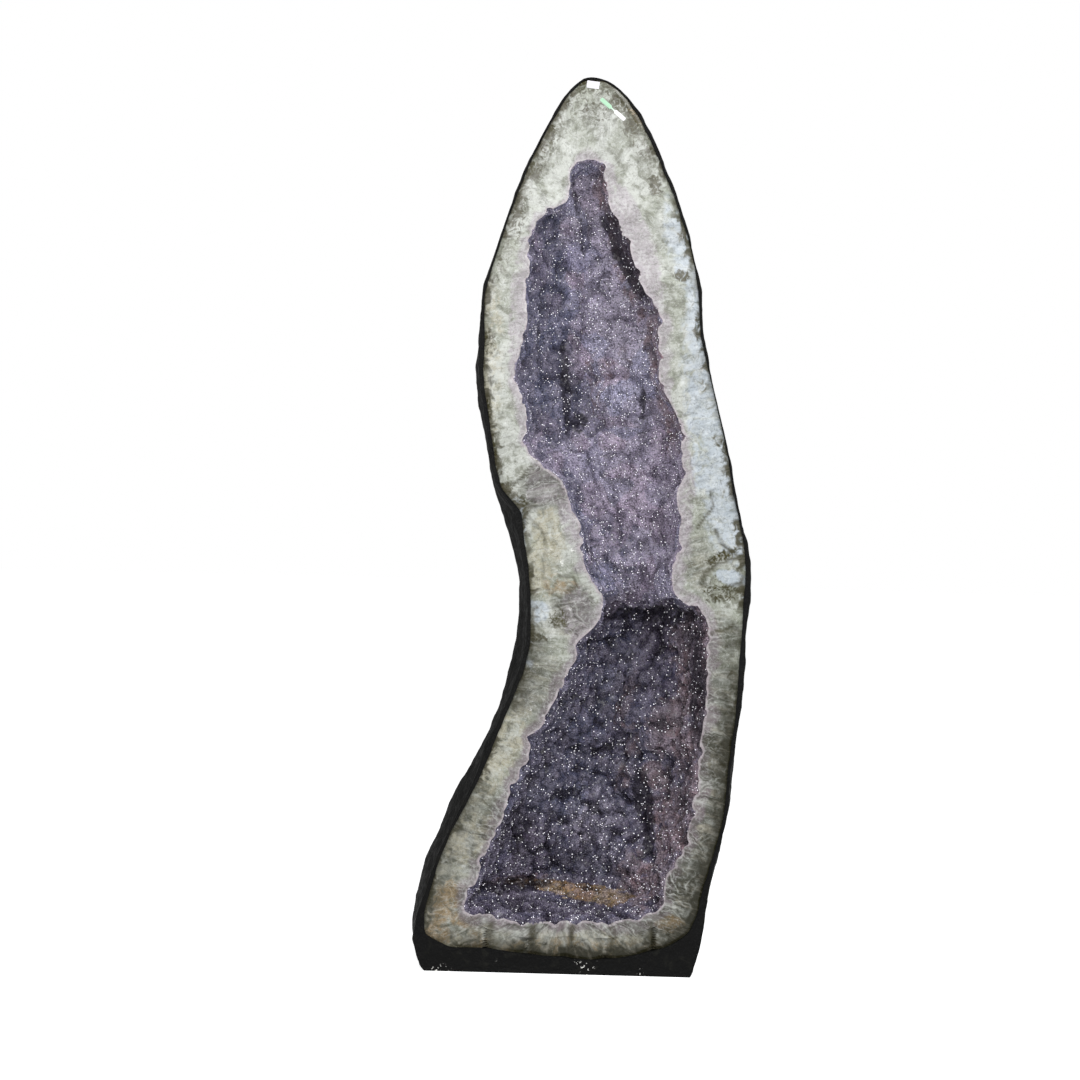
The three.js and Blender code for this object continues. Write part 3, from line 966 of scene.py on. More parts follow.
@dataclass
class Druse:
    """The crust that lines the hollow: its sawn lip on the face, and the lumpy bed that crystals grow on."""

    face: SawnFace
    wall_rows: int = 106
    lip_rows: int = 5
    outer_rows: int = 5
    sunk: float = 13 * MM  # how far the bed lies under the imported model's wall
    brow: float = 0.622  # the height of the edge between the upper and the lower chamber
    name: str = "amethyst_bed"
    masses: Lumps = Lumps(55 * MM, 14 * MM, 21, 0.55, 0.9)
    lumps: Lumps = Lumps(25 * MM, 14 * MM, 22, 0.5, 0.85)
    beads: Lumps = Lumps(11 * MM, 3.0 * MM, 23, 0.5, 0.75)
    scallops: Lumps = Lumps(17 * MM, 8 * MM, 24, 0.42, 0.75)  # along the rim
    mounds: tuple[Mound, ...] = (
        Mound(0.160, 0.398, 0.046, 0.048, 26 * MM),
        Mound(0.134, 0.316, 0.027, 0.024, 20 * MM, -20),
        Mound(0.157, 0.235, 0.026, 0.048, 20 * MM, -8),
        Mound(0.103, 0.158, 0.032, 0.046, 19 * MM, 20),
        Mound(0.041, 0.250, 0.054, 0.040, 18 * MM),
        Mound(0.093, 0.418, 0.032, 0.031, 18 * MM),
        Mound(0.010, 0.390, 0.045, 0.036, 15 * MM),
        Mound(-0.040, 0.300, 0.040, 0.045, 15 * MM),
        Mound(-0.075, 0.200, 0.045, 0.040, 14 * MM, 10),
        Mound(0.110, 0.520, 0.045, 0.040, 14 * MM),
        Mound(0.061, 1.127, 0.042, 0.027, 19 * MM),
        Mound(0.051, 0.963, 0.045, 0.042, 22 * MM),
        Mound(0.028, 1.180, 0.030, 0.029, 16 * MM),
        Mound(0.022, 1.030, 0.050, 0.030, 18 * MM),
        Mound(0.012, 1.230, 0.027, 0.022, 14 * MM),
        Mound(-0.006, 1.330, 0.022, 0.034, 12 * MM),
        Mound(0.058, 0.830, 0.052, 0.062, 20 * MM, 10),
        Mound(0.110, 0.880, 0.032, 0.050, 16 * MM, 15),
        Mound(0.085, 0.690, 0.054, 0.052, 16 * MM),
        Mound(-0.045, 0.868, 0.050, 0.026, 16 * MM, 8),
        Mound(-0.085, 1.170, 0.026, 0.070, 14 * MM, 8),
        Mound(-0.098, 1.020, 0.024, 0.060, 13 * MM, 2),
    )
    slate: tuple[Patch, ...] = (
        Patch(-0.078, 1.07, 0.048, 0.22, 1.1),
        Patch(-0.035, 0.965, 0.030, 0.070, 1.0),
        Patch(0.0, 0.35, 0.14, 0.24, 0.75),
        Patch(0.00, 0.64, 0.05, 0.05, 0.7),
        Patch(-0.020, 0.745, 0.026, 0.110, 1.1, 8),
        Patch(0.030, 0.700, 0.080, 0.090, 0.35),
    )
    rust: tuple[Patch, ...] = (
        Patch(0.160, 0.398, 0.044, 0.046, 1.2),
        Patch(0.134, 0.316, 0.026, 0.024, 1.0),
        Patch(0.195, 0.50, 0.026, 0.12, 1.0),
        Patch(0.157, 0.235, 0.028, 0.050, 0.55),
        Patch(0.103, 0.150, 0.034, 0.046, 0.75),
        Patch(0.126, 1.00, 0.020, 0.13, 0.75, 14),
        Patch(0.085, 1.25, 0.012, 0.05, 0.6, 25),
        Patch(-0.10, 0.128, 0.06, 0.008, 0.7),
    )
    lilac: tuple[Patch, ...] = (
        Patch(0.055, 1.03, 0.065, 0.13, 0.8),
        Patch(0.051, 0.965, 0.040, 0.036, 1.0),
        Patch(0.061, 1.127, 0.036, 0.024, 1.0),
        Patch(0.070, 0.86, 0.060, 0.07, 0.3),
        Patch(0.020, 1.20, 0.035, 0.06, 0.6),
        Patch(-0.010, 1.33, 0.040, 0.09, 1.4),
        Patch(0.160, 0.400, 0.046, 0.048, 0.45),
        Patch(0.030, 0.235, 0.056, 0.055, 0.5),
        Patch(0.078, 0.480, 0.044, 0.036, 0.45),
        Patch(0.103, 0.158, 0.032, 0.046, 0.3),
    )
    ochre: Patch = Patch(0.045, 0.108, 0.150, 0.010, 1.5, -6)  # the stain along the foot of the back wall
    # painted shade: dark places of the crust, such as under the overhang, in crevices and down the right-hand wall
    shade: tuple[Patch, ...] = (
        Patch(0.113, 0.282, 0.015, 0.055, 1.2, 10),
        Patch(0.126, 0.225, 0.010, 0.060, 1.0),
        Patch(0.120, 0.596, 0.110, 0.016, 0.85),
        Patch(0.198, 0.470, 0.010, 0.110, 0.9),
        Patch(-0.038, 0.985, 0.008, 0.085, 0.9, 4),
        Patch(0.062, 1.200, 0.017, 0.095, 1.4, 29),
        Patch(0.094, 0.958, 0.006, 0.040, 0.8),
        Patch(-0.015, 0.93, 0.018, 0.018, 0.8),
        Patch(-0.024, 1.27, 0.006, 0.07, 0.6, 10),
        Patch(-0.105, 0.122, 0.065, 0.011, 1.0),
        Patch(0.165, 0.120, 0.016, 0.030, 0.9),
        Patch(0.014, 0.700, 0.016, 0.050, 0.30),
        Patch(-0.098, 0.217, 0.040, 0.058, 0.60),
        Patch(0.172, 0.300, 0.020, 0.045, 0.25),
    )

    def build(self) -> Object:
        """Makes the crust as one closed solid."""
        columns, face, node = self.face.columns, self.face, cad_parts["amethyst_druse"]
        rim, border = at_depth(columns.ends), at_depth(face.druse.opposite(columns))
        wall = Bowl(node, Side.INNER, columns).cast()
        wall = eased(rows_along(np.concatenate([rim[None], wall]), self.wall_rows), 8)
        outer = rows_along(np.concatenate([border[None], Bowl(node, Side.OUTER, columns).cast()]), self.outer_rows)
        lip = [border + (rim - border) * share for share in np.linspace(0, 1, self.lip_rows + 1)[1:-1]]
        rows = np.concatenate([outer[::-1], lip, wall])
        loft = Loft(rows, columns.stations, (True, True))
        return self._grow(loft)

    def _grow(self, loft: Loft) -> Object:
        """Raises the lumps on the wall and shapes the lip to them.

        Args:
            loft: the smooth crust.

        Returns:
            The finished bed.
        """
        count = self.face.columns.count
        rim_row = loft.body_rows - (self.wall_rows - 1)
        first = rim_row * count
        border_row = self.outer_rows - 2
        crest_count = (len(loft.points) - loft.body_rows * count) // 2
        on_wall = np.zeros(len(loft.points), dtype=bool)
        on_wall[first : loft.body_rows * count] = True
        on_wall[len(loft.points) - crest_count :] = True
        facing = normals_of(loft.points, loft.faces)
        ring = loft.points[first : first + count]
        along = np.roll(ring, -1, axis=0) - np.roll(ring, 1, axis=0)
        inwards = np.stack([-along[:, 2], np.zeros(count), along[:, 0]], axis=1)
        facing[first : first + count] = inwards / np.linalg.norm(inwards, axis=1)[:, None]
        places = loft.points[on_wall]
        upper = smoothstep(places[:, 2], 0.56, 0.66)
        back = smoothstep(places[:, 1], FACE_Y + 25 * MM, FACE_Y + 70 * MM)
        mounds = np.max([mound.over(places) for mound in self.mounds], axis=0) * back
        parts, shades = zip(*[layer.over(places) for layer in (self.masses, self.lumps, self.beads)])
        parts = list(parts)
        parts[0] = np.maximum(parts[0] * 0.55, mounds)
        height = parts[0] + parts[1] * (1 - 0.4 * upper) + parts[2] * (1 - 0.2 * upper) + self._ledge(places)
        raise_by = height - self.sunk
        held = self.scallops.over(places[:count])[0]
        held = (np.roll(held, 1) + 2 * held + np.roll(held, -1)) / 4
        held = np.tile(held - 5 * MM, math.ceil(len(places) / count))[: len(places)]
        raise_by = held + (raise_by - held) * smoothstep(np.arange(len(places)) // count, 0, 5)
        loft.points[on_wall] += facing[on_wall] * raise_by[:, None]
        loft.points[on_wall, 1] = np.maximum(loft.points[on_wall, 1], FACE_Y)
        body = loft.points[: loft.body_rows * count].reshape(loft.body_rows, count, 3)
        sawn = np.zeros(len(loft.points))
        for row in range(border_row, rim_row + 1):
            share = (row - border_row) / (rim_row - border_row)
            body[row] = body[border_row] + (body[rim_row] - body[border_row]) * share
            sawn[row * count : (row + 1) * count] = 1
        body[border_row : rim_row + 1, :, 1] = FACE_Y + self.face.relief(
            body[border_row : rim_row + 1].reshape(-1, 3)
        ).reshape(-1, count)
        loft.points[: loft.body_rows * count] = body.reshape(-1, 3)
        self.rim = Outline(body[rim_row][:, (0, 2)])
        raised = np.zeros((3, len(loft.points)))
        for k, layer in enumerate((self.masses, self.lumps, self.beads)):
            raised[k, on_wall] = np.clip(parts[k] / layer.height, 0, 1)
        hue, cap = np.full((2, len(loft.points)), 0.5)
        hue[on_wall], cap[on_wall] = shades[0], 0.85 * shades[1] + 0.15 * shades[2]
        values = {
            "sawn": sawn,
            "wall": (on_wall & (sawn < 0.5)).astype(float),
            "mass": raised[0],
            "lump": raised[1],
            "bead": raised[2],
            "hue": hue,
            "cap": cap,
            **self._lip_values(loft, sawn > 0, border_row),
            **self._tints(loft.points, facing),
        }
        return mesh_object(self.name, loft.points, loft.faces, values)

    def _ledge(self, places: np.ndarray) -> np.ndarray:
        """How far the upper chamber's mass stands out over the lower chamber, by place.

        Args:
            places: places on the wall.

        Returns:
            One height for each place, below 0 where the wall is undercut.
        """
        x, y, z = places.T
        sag = 14 * MM * np.exp(-(((x - 0.090) / 0.030) ** 2)) - 9 * MM * np.exp(-(((x - 0.160) / 0.018) ** 2))
        brow = self.brow + 9 * MM * grain(places * (1, 0, 0), 36 * MM, 61, 3) - sag
        over = smoothstep(z, brow, brow + 7 * MM) * (1 - smoothstep(z, brow + 30 * MM, brow + 110 * MM))
        under = smoothstep(z, brow - 60 * MM, brow - 8 * MM) * (1 - smoothstep(z, brow - 4 * MM, brow + 2 * MM))
        return smoothstep(y, FACE_Y + 25 * MM, FACE_Y + 70 * MM) * (16 * MM * over - 10 * MM * under)

    def _lip_values(self, loft: Loft, lip: np.ndarray, border_row: int) -> dict[str, np.ndarray]:
        """The numbers that the milky stone's finish reads, for the points of the lip.

        Args:
            loft: the crust.
            lip: which points are on the lip.
            border_row: the row in which the lip meets the band.

        Returns:
            Named values, 0 elsewhere.
        """
        face, count = self.face, self.face.columns.count
        places = loft.points[lip]
        found = {
            "inset": face.distance(self.rim, places),
            "edge": face.distance(face.quartz, places),
            **StoneTones().over(places),
        }
        values = {}
        for key, value in found.items():
            values["stone_" + key if key == "lilac" else key] = np.zeros(len(loft.points))
            values["stone_" + key if key == "lilac" else key][lip] = value
        border = loft.points[border_row * count : (border_row + 1) * count]
        band = np.linalg.norm(face.quartz.opposite(face.columns) - border[:, (0, 2)], axis=1)
        across = np.zeros(len(loft.points))
        for row in range(loft.body_rows):
            ring = loft.points[row * count : (row + 1) * count]
            across[row * count : (row + 1) * count] = band + np.linalg.norm(ring - border, axis=1)
        fibre = face.fibre(loft.body_rows, across[: loft.body_rows * count])
        values["fibre"] = np.vstack([fibre, np.zeros((len(loft.points) - len(fibre), 2))])
        return values

    def _tints(self, places: np.ndarray, facing: np.ndarray) -> dict[str, np.ndarray]:
        """Where the crystals are bluish slate, lilac, reddish brown, in painted shade or stained, from 0 to 1.

        Args:
            places: places on the crust.
            facing: the direction in which each one faces.

        Returns:
            One row of strengths for each tint, by name.
        """
        rust = covered(self.rust, places)
        ochre = self.ochre.over(places)
        # walls that face left, outside the waist, are tinted reddish brown: partly the druse's rust, partly painted
        # shade on the side turned from the key light
        away = 1 - smoothstep(places[:, 2], 0.55, 0.62) * (1 - smoothstep(places[:, 2], 0.84, 0.92))
        return {
            "slate": covered(self.slate, places),
            "rust": np.maximum(rust, smoothstep(-facing[:, 0], 0.45, 0.95) * 0.8 * away),
            "lilac": covered(self.lilac, places),
            "shade": covered(self.shade, places),
            "ochre": ochre * smoothstep(places[:, 1], FACE_Y + 0.07, FACE_Y + 0.12),
        }


@dataclass
class Coat:
    """The black coat round the stone, and the flat foot that it stands on."""

    COLUMNS: int = 700
    wall_rows: int = 80
    lip_rows: int = 3
    inner_rows: int = 7
    below: float = -4 * MM  # how far the underside is lowered before it is cut flat
    name: str = "black_coat_shell"

    def build(self, face: SawnFace) -> Object:
        """Makes the coat as one closed shell, cut flat at the foot.

        Args:
            face: the border lines of the sawn face.

        Returns:
            The coat.
        """
        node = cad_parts["black_coat_and_foot"]
        columns = Columns.to(face.quartz.spaced(self.COLUMNS, MM), face.spine)
        inner = at_depth(face.coat_line(columns, columns.ends))
        edge = at_depth(face.stone.opposite(columns))
        outer = Bowl(node, Side.OUTER, columns, below=self.below).cast()
        outer = rows_along(np.concatenate([edge[None], outer]), self.wall_rows)
        outer = eased(outer, 7)
        hidden = Bowl(node, Side.INNER, columns).cast()
        hidden = rows_along(np.concatenate([inner[None], hidden]), self.inner_rows)
        lip = [edge + (inner - edge) * share for share in np.linspace(0, 1, self.lip_rows + 1)[1:-1]]
        loft = Loft(np.concatenate([outer[::-1], lip, hidden]), columns.stations, (True, True))
        self._roughen(loft)
        return self._cut(loft)

    def _roughen(self, loft: Loft) -> None:
        """Gives the outer side the lumps and pits of rough cement under paint.

        Args:
            loft: the smooth shell, which is changed.
        """
        facing = normals_of(loft.points, loft.faces)
        count = self.COLUMNS
        outer = np.zeros(len(loft.points))
        outer[: (self.wall_rows - 1) * count] = 1
        crest_count = (len(loft.points) - loft.body_rows * count) // 2
        outer[loft.body_rows * count : loft.body_rows * count + crest_count] = 1
        places = loft.points
        rough = 5 * MM * grain(places, 95 * MM, 41, 2) + 1.6 * MM * grain(places, 22 * MM, 42, 3)
        rough *= smoothstep(places[:, 2], -4 * MM, 20 * MM)
        facing[:, 1] *= smoothstep(places[:, 1], FACE_Y, FACE_Y + 12 * MM)
        loft.points = places + facing * (rough * outer)[:, None]
        lip = slice((self.wall_rows - 1) * count, (self.wall_rows + self.lip_rows - 2) * count)
        loft.points[lip, 1] += 0.6 * MM * (1 + grain(loft.points[lip], 12 * MM, 43, 2))

    def _cut(self, loft: Loft) -> Object:
        """Cuts the shell flat at the foot's underside and closes it there.

        Args:
            loft: the shell, which reaches below the foot.

        Returns:
            The coat.
        """
        piece = mesh_object(self.name, loft.points, loft.faces)
        form = bmesh.new()
        form.from_mesh(piece.data)
        cut = bmesh.ops.bisect_plane(
            form,
            geom=[*form.verts, *form.edges, *form.faces],
            plane_co=(0, 0, 0),
            plane_no=(0, 0, 1),
            clear_inner=True,
        )
        rim = [item for item in cut["geom_cut"] if isinstance(item, bmesh.types.BMEdge)]
        bmesh.ops.triangle_fill(form, edges=rim, use_beauty=True, normal=(0, 0, -1))
        for polygon in form.faces:
            if all(abs(v.co.z) < 0.01 * MM for v in polygon.verts):
                polygon.smooth = False
                if polygon.normal.z > 0:
                    polygon.normal_flip()
        form.to_mesh(piece.data)
        form.free()
        return piece


# ---------------------------------------------------------------- crystals


@dataclass(frozen=True)
class CrystalZone:
    """A stretch of the hollow whose crystals are one piece."""

    name: str
    low: float
    high: float
    spacing: float
    size: float


@dataclass
class Crystals:
    """The small pointed crystals that stand all over the druse's bed."""

    zones: tuple[CrystalZone, ...] = (
        CrystalZone("floor", 0.05, 0.27, 3.0 * MM, 2.1 * MM),
        CrystalZone("lower", 0.27, 0.45, 3.0 * MM, 2.1 * MM),
        CrystalZone("overhang", 0.45, 0.64, 3.0 * MM, 2.0 * MM),
        CrystalZone("waist", 0.64, 0.88, 2.9 * MM, 1.9 * MM),
        CrystalZone("upper", 0.88, 1.08, 2.9 * MM, 1.9 * MM),
        CrystalZone("tip", 1.08, 1.40, 2.9 * MM, 1.9 * MM),
    )
    aspect: float = 0.85  # a crystal's height over its radius
    lean: float = 0.3  # radians by which crystals lean away from the bed's normal

    def build(self, bed: Object, finish: Material) -> list[Object]:
        """Grows every zone's crystals.

        Args:
            bed: the piece that they stand on.
            finish: their material.

        Returns:
            One plain mesh for each zone.
        """
        tree = self._tree(finish)
        pieces = []
        for number, zone in enumerate(self.zones):
            grower = bpy.data.objects.new("grower", bed.data)
            bpy.context.scene.collection.objects.link(grower)
            modifier = grower.modifiers.new("crystals", "NODES")
            modifier.node_group = tree
            wanted = {
                "Low": zone.low,
                "High": zone.high,
                "Spacing": zone.spacing,
                "Size": zone.size,
                "Seed": 100 + number,
            }
            for item in tree.interface.items_tree:
                if item.item_type == "SOCKET" and item.name in wanted:
                    modifier[item.identifier] = wanted[item.name]
            depsgraph = bpy.context.evaluated_depsgraph_get()
            mesh = bpy.data.meshes.new_from_object(grower.evaluated_get(depsgraph), depsgraph=depsgraph)
            mesh.name = f"crystals_{zone.name}"
            bpy.data.objects.remove(grower)
            piece = bpy.data.objects.new(mesh.name, mesh)
            bpy.context.scene.collection.objects.link(piece)
            pieces.append(piece)
        return pieces

    def _tree(self, finish: Material) -> NodeTree:
        """The node tree that scatters crystals over a bed between two heights.

        Args:
            finish: the material of the crystals.

        Returns:
            The tree, with one input for each choice.
        """
        tree = bpy.data.node_groups.new("crystal_growth", "GeometryNodeTree")
        sockets = tree.interface
        sockets.new_socket("Geometry", in_out="INPUT", socket_type="NodeSocketGeometry")
        for name in ("Low", "High", "Spacing", "Size"):
            sockets.new_socket(name, in_out="INPUT", socket_type="NodeSocketFloat")
        sockets.new_socket("Seed", in_out="INPUT", socket_type="NodeSocketInt")
        sockets.new_socket("Geometry", in_out="OUTPUT", socket_type="NodeSocketGeometry")
        graph = Graph(tree)
        given = graph.add("NodeGroupInput")
        place = graph.add("GeometryNodeInputPosition").outputs[0]
        height = graph.add("ShaderNodeSeparateXYZ", Vector=place).outputs["Z"]
        wall = graph.add("GeometryNodeInputNamedAttribute", {"data_type": "FLOAT"}, Name="wall").outputs["Attribute"]
        over = graph.math("GREATER_THAN", height, given.outputs["Low"])
        under = graph.math("LESS_THAN", height, given.outputs["High"])
        chosen = graph.math("MULTIPLY", graph.math("MULTIPLY", over, under), graph.math("GREATER_THAN", wall, 0.9))
        dense = graph.math("DIVIDE", 1.0, graph.math("POWER", graph.math("MULTIPLY", given.outputs["Spacing"], 0.62), 2.0))
        scatter = graph.add(
            "GeometryNodeDistributePointsOnFaces",
            {"distribute_method": "POISSON"},
            Mesh=given.outputs["Geometry"],
            Selection=chosen,
            Seed=given.outputs["Seed"],
            **{"Distance Min": given.outputs["Spacing"], "Density Max": dense},
        )
        turn = graph.random_vector((-self.lean, -self.lean, 0.0), (self.lean, self.lean, math.tau), given.outputs["Seed"])
        lean = graph.add("FunctionNodeEulerToRotation", Euler=turn)
        stance = graph.add(
            "FunctionNodeRotateRotation",
            {"rotation_space": "LOCAL"},
            Rotation=scatter.outputs["Rotation"],
            **{"Rotate By": lean.outputs[0]},
        )
        tinted = graph.add(
            "GeometryNodeStoreNamedAttribute",
            {"data_type": "FLOAT", "domain": "POINT"},
            Geometry=scatter.outputs["Points"],
            Name="tint",
            Value=graph.random(0.0, 1.0, given.outputs["Seed"], 13),
        )
        tint = graph.add("GeometryNodeInputNamedAttribute", {"data_type": "FLOAT"}, Name="tint").outputs["Attribute"]
        growth = graph.math("SUBTRACT", graph.between(tint, 0.0, 1.0, 1.4, 0.72), graph.between(tint, 0.86, 0.88, 0.0, 0.10))
        cone = graph.add(
            "GeometryNodeMeshCone",
            {"fill_type": "NGON"},
            Vertices=6,
            **{"Side Segments": 1, "Radius Top": 0.0, "Radius Bottom": 1.0, "Depth": self.aspect},
        )
        sunk = graph.add("GeometryNodeTransform", Geometry=cone.outputs["Mesh"], Translation=(0, 0, -0.3 * self.aspect))
        placed = graph.add(
            "GeometryNodeInstanceOnPoints",
            Points=tinted.outputs[0],
            Instance=sunk.outputs[0],
            Rotation=stance.outputs[0],
            Scale=graph.math("MULTIPLY", growth, given.outputs["Size"]),
        )
        real = graph.add("GeometryNodeRealizeInstances", Geometry=placed.outputs[0])
        flat = graph.add("GeometryNodeSetShadeSmooth", Geometry=real.outputs[0], **{"Shade Smooth": False})
        dressed = graph.add("GeometryNodeSetMaterial", Geometry=flat.outputs[0], Material=finish)
        graph.add("NodeGroupOutput", Geometry=dressed.outputs[0])
        return tree


# ---------------------------------------------------------------- node trees


Value = float | int | bool | str | tuple | NodeSocket | Material


class Graph:
    """Adds nodes to a tree and joins them."""

    def __init__(self, tree: NodeTree) -> None:
        """Starts on a tree.

        Args:
            tree: the tree that nodes are added to.
        """
        self.tree = tree

    def add(self, kind: str, settings: dict[str, object] | None = None, **inputs: Value) -> Node:
        """Adds one node.

        Args:
            kind: the node's type.
            settings: its properties.
            inputs: a value or another node's output for each named input.

        Returns:
            The node.
        """
        node = self.tree.nodes.new(kind)
        for key, value in (settings or {}).items():
            setattr(node, key, value)
        for name, value in inputs.items():
            live = [socket for socket in node.inputs if socket.name == name and socket.enabled]
            self.put(live[0], value)
        return node

    def put(self, socket: NodeSocket, value: Value) -> None:
        """Gives an input its value, or joins it to an output."""
        if isinstance(value, NodeSocket):
            self.tree.links.new(value, socket)
        else:
            socket.default_value = value

    def math(self, operation: str, first: Value, second: Value = 0.0, clamp: bool = False) -> NodeSocket:
        """The result of a sum on two numbers.

        Args:
            operation: the sum.
            first: a number or a socket.
            second: a number or a socket.
            clamp: whether the result is kept between 0 and 1.

        Returns:
            The socket that holds the result.
        """
        node = self.tree.nodes.new("ShaderNodeMath")
        node.operation = operation
        node.use_clamp = clamp
        self.put(node.inputs[0], first)
        self.put(node.inputs[1], second)
        return node.outputs[0]

    def random(self, low: float, high: float, seed: Value, number: int) -> NodeSocket:
        """A random number for each element."""
        node = self.add("FunctionNodeRandomValue", {"data_type": "FLOAT"})
        for name, value in (("Min", low), ("Max", high), ("Seed", self.math("ADD", seed, float(number)))):
            self.put([s for s in node.inputs if s.name == name and s.enabled][0], value)
        return [s for s in node.outputs if s.enabled][0]

    def random_vector(self, low: tuple, high: tuple, seed: Value) -> NodeSocket:
        """A random vector for each element."""
        node = self.add("FunctionNodeRandomValue", {"data_type": "FLOAT_VECTOR"})
        for name, value in (("Min", low), ("Max", high), ("Seed", seed)):
            self.put([s for s in node.inputs if s.name == name and s.enabled][0], value)
        return [s for s in node.outputs if s.enabled][0]

    def named(self, name: str) -> NodeSocket:
        """A number that the mesh carries at each point, for a material."""
        return self.add("ShaderNodeAttribute", {"attribute_name": name}).outputs["Fac"]

    def scaled(self, where: Value, scale: tuple[float, float, float]) -> NodeSocket:
        """A place stretched along each axis."""
        return self.add("ShaderNodeMapping", Vector=where, Scale=scale).outputs[0]

    def noise(self, where: Value, scale: float, detail: float = 3.0, stray: float = 0.0) -> NodeSocket:
        """Cloudy noise from 0 to 1."""
        node = self.add("ShaderNodeTexNoise", Vector=where, Scale=scale, Detail=detail, Distortion=stray)
        return node.outputs["Fac"]

    def warped(self, where: Value, scale: float, amount: float) -> NodeSocket:
        """A place pushed about by noise."""
        push = self.add("ShaderNodeTexNoise", Vector=where, Scale=scale, Detail=2.0).outputs["Color"]
        node = self.add("ShaderNodeVectorMath", {"operation": "MULTIPLY_ADD"})
        for socket, value in zip(node.inputs, (push, (amount, amount, amount), where)):
            self.put(socket, value)
        return node.outputs[0]

    def cells(self, where: Value, scale: float, feature: str = "F1", chance: float = 1.0) -> Node:
        """A pattern of cells."""
        return self.add("ShaderNodeTexVoronoi", {"feature": feature}, Vector=where, Scale=scale, Randomness=chance)

    def between(self, value: Value, low: float, high: float, start: float = 0.0, end: float = 1.0) -> NodeSocket:
        """Eases a number from start to end as it goes from low to high."""
        node = self.add("ShaderNodeMapRange", {"interpolation_type": "SMOOTHSTEP"}, Value=value)
        for name, number in (("From Min", low), ("From Max", high), ("To Min", start), ("To Max", end)):
            node.inputs[name].default_value = number
        return node.outputs["Result"]

    def blend(self, share: Value, first: Value, second: Value, way: str = "MIX") -> NodeSocket:
        """Mixes two colours.

        Args:
            share: how much of the second colour is used.
            first: a colour or a socket.
            second: a colour or a socket.
            way: how the second colour is laid over the first.

        Returns:
            The socket that holds the mixture.
        """
        node = self.add("ShaderNodeMix", {"data_type": "RGBA", "blend_type": way})
        colours = [s for s in node.inputs if s.enabled]
        self.put(colours[0], share)
        for socket, value in zip(colours[1:], (first, second)):
            self.put(socket, (*value, 1.0) if isinstance(value, tuple) else value)
        return [s for s in node.outputs if s.enabled][0]

    def bump(self, height: Value, strength: float, distance: float) -> NodeSocket:
        """A surface normal dented by a height."""
        node = self.add("ShaderNodeBump", Height=height, Strength=strength, Distance=distance)
        return node.outputs["Normal"]


class Surface:
    """A new material with its shader and its object coordinates."""

    def __init__(self, name: str) -> None:
        """Makes the material.

        Args:
            name: what the finish is called.
        """
        self.material = bpy.data.materials.new(name)
        self.material.use_nodes = True
        self.graph = Graph(self.material.node_tree)
        self.shader = self.material.node_tree.nodes["Principled BSDF"]
        self.where = self.graph.add("ShaderNodeTexCoord").outputs["Object"]

    def finish(self, **inputs: Value) -> Material:
        """Sets the shader's inputs, with _ for a space in each name, and returns the material."""
        for name, value in inputs.items():
            self.graph.put(self.shader.inputs[name.replace("_", " ")], value)
        return self.material


class Recipe:
    """A shader node group in the making, with its named inputs and outputs."""

    def __init__(self, name: str, takes: dict[str, str], gives: dict[str, str]) -> None:
        """Makes the empty group.

        Args:
            name: what the group is called.
            takes: the kind of each input: Vector, Float or Color.
            gives: the kind of each output.
        """
        self.tree = bpy.data.node_groups.new(name, "ShaderNodeTree")
        for label, kind in takes.items():
            self.tree.interface.new_socket(label, in_out="INPUT", socket_type=f"NodeSocket{kind}")
        for label, kind in gives.items():
            self.tree.interface.new_socket(label, in_out="OUTPUT", socket_type=f"NodeSocket{kind}")
        self.graph = Graph(self.tree)
        self.given = self.graph.add("NodeGroupInput").outputs
        self.result = self.graph.add("NodeGroupOutput").inputs

    def give(self, **outputs: NodeSocket) -> NodeTree:
        """Joins the group's outputs and returns it."""
        for name, value in outputs.items():
            self.graph.put(self.result[name], value)
        return self.tree


# ---------------------------------------------------------------- finishes

Colour = tuple[float, float, float]


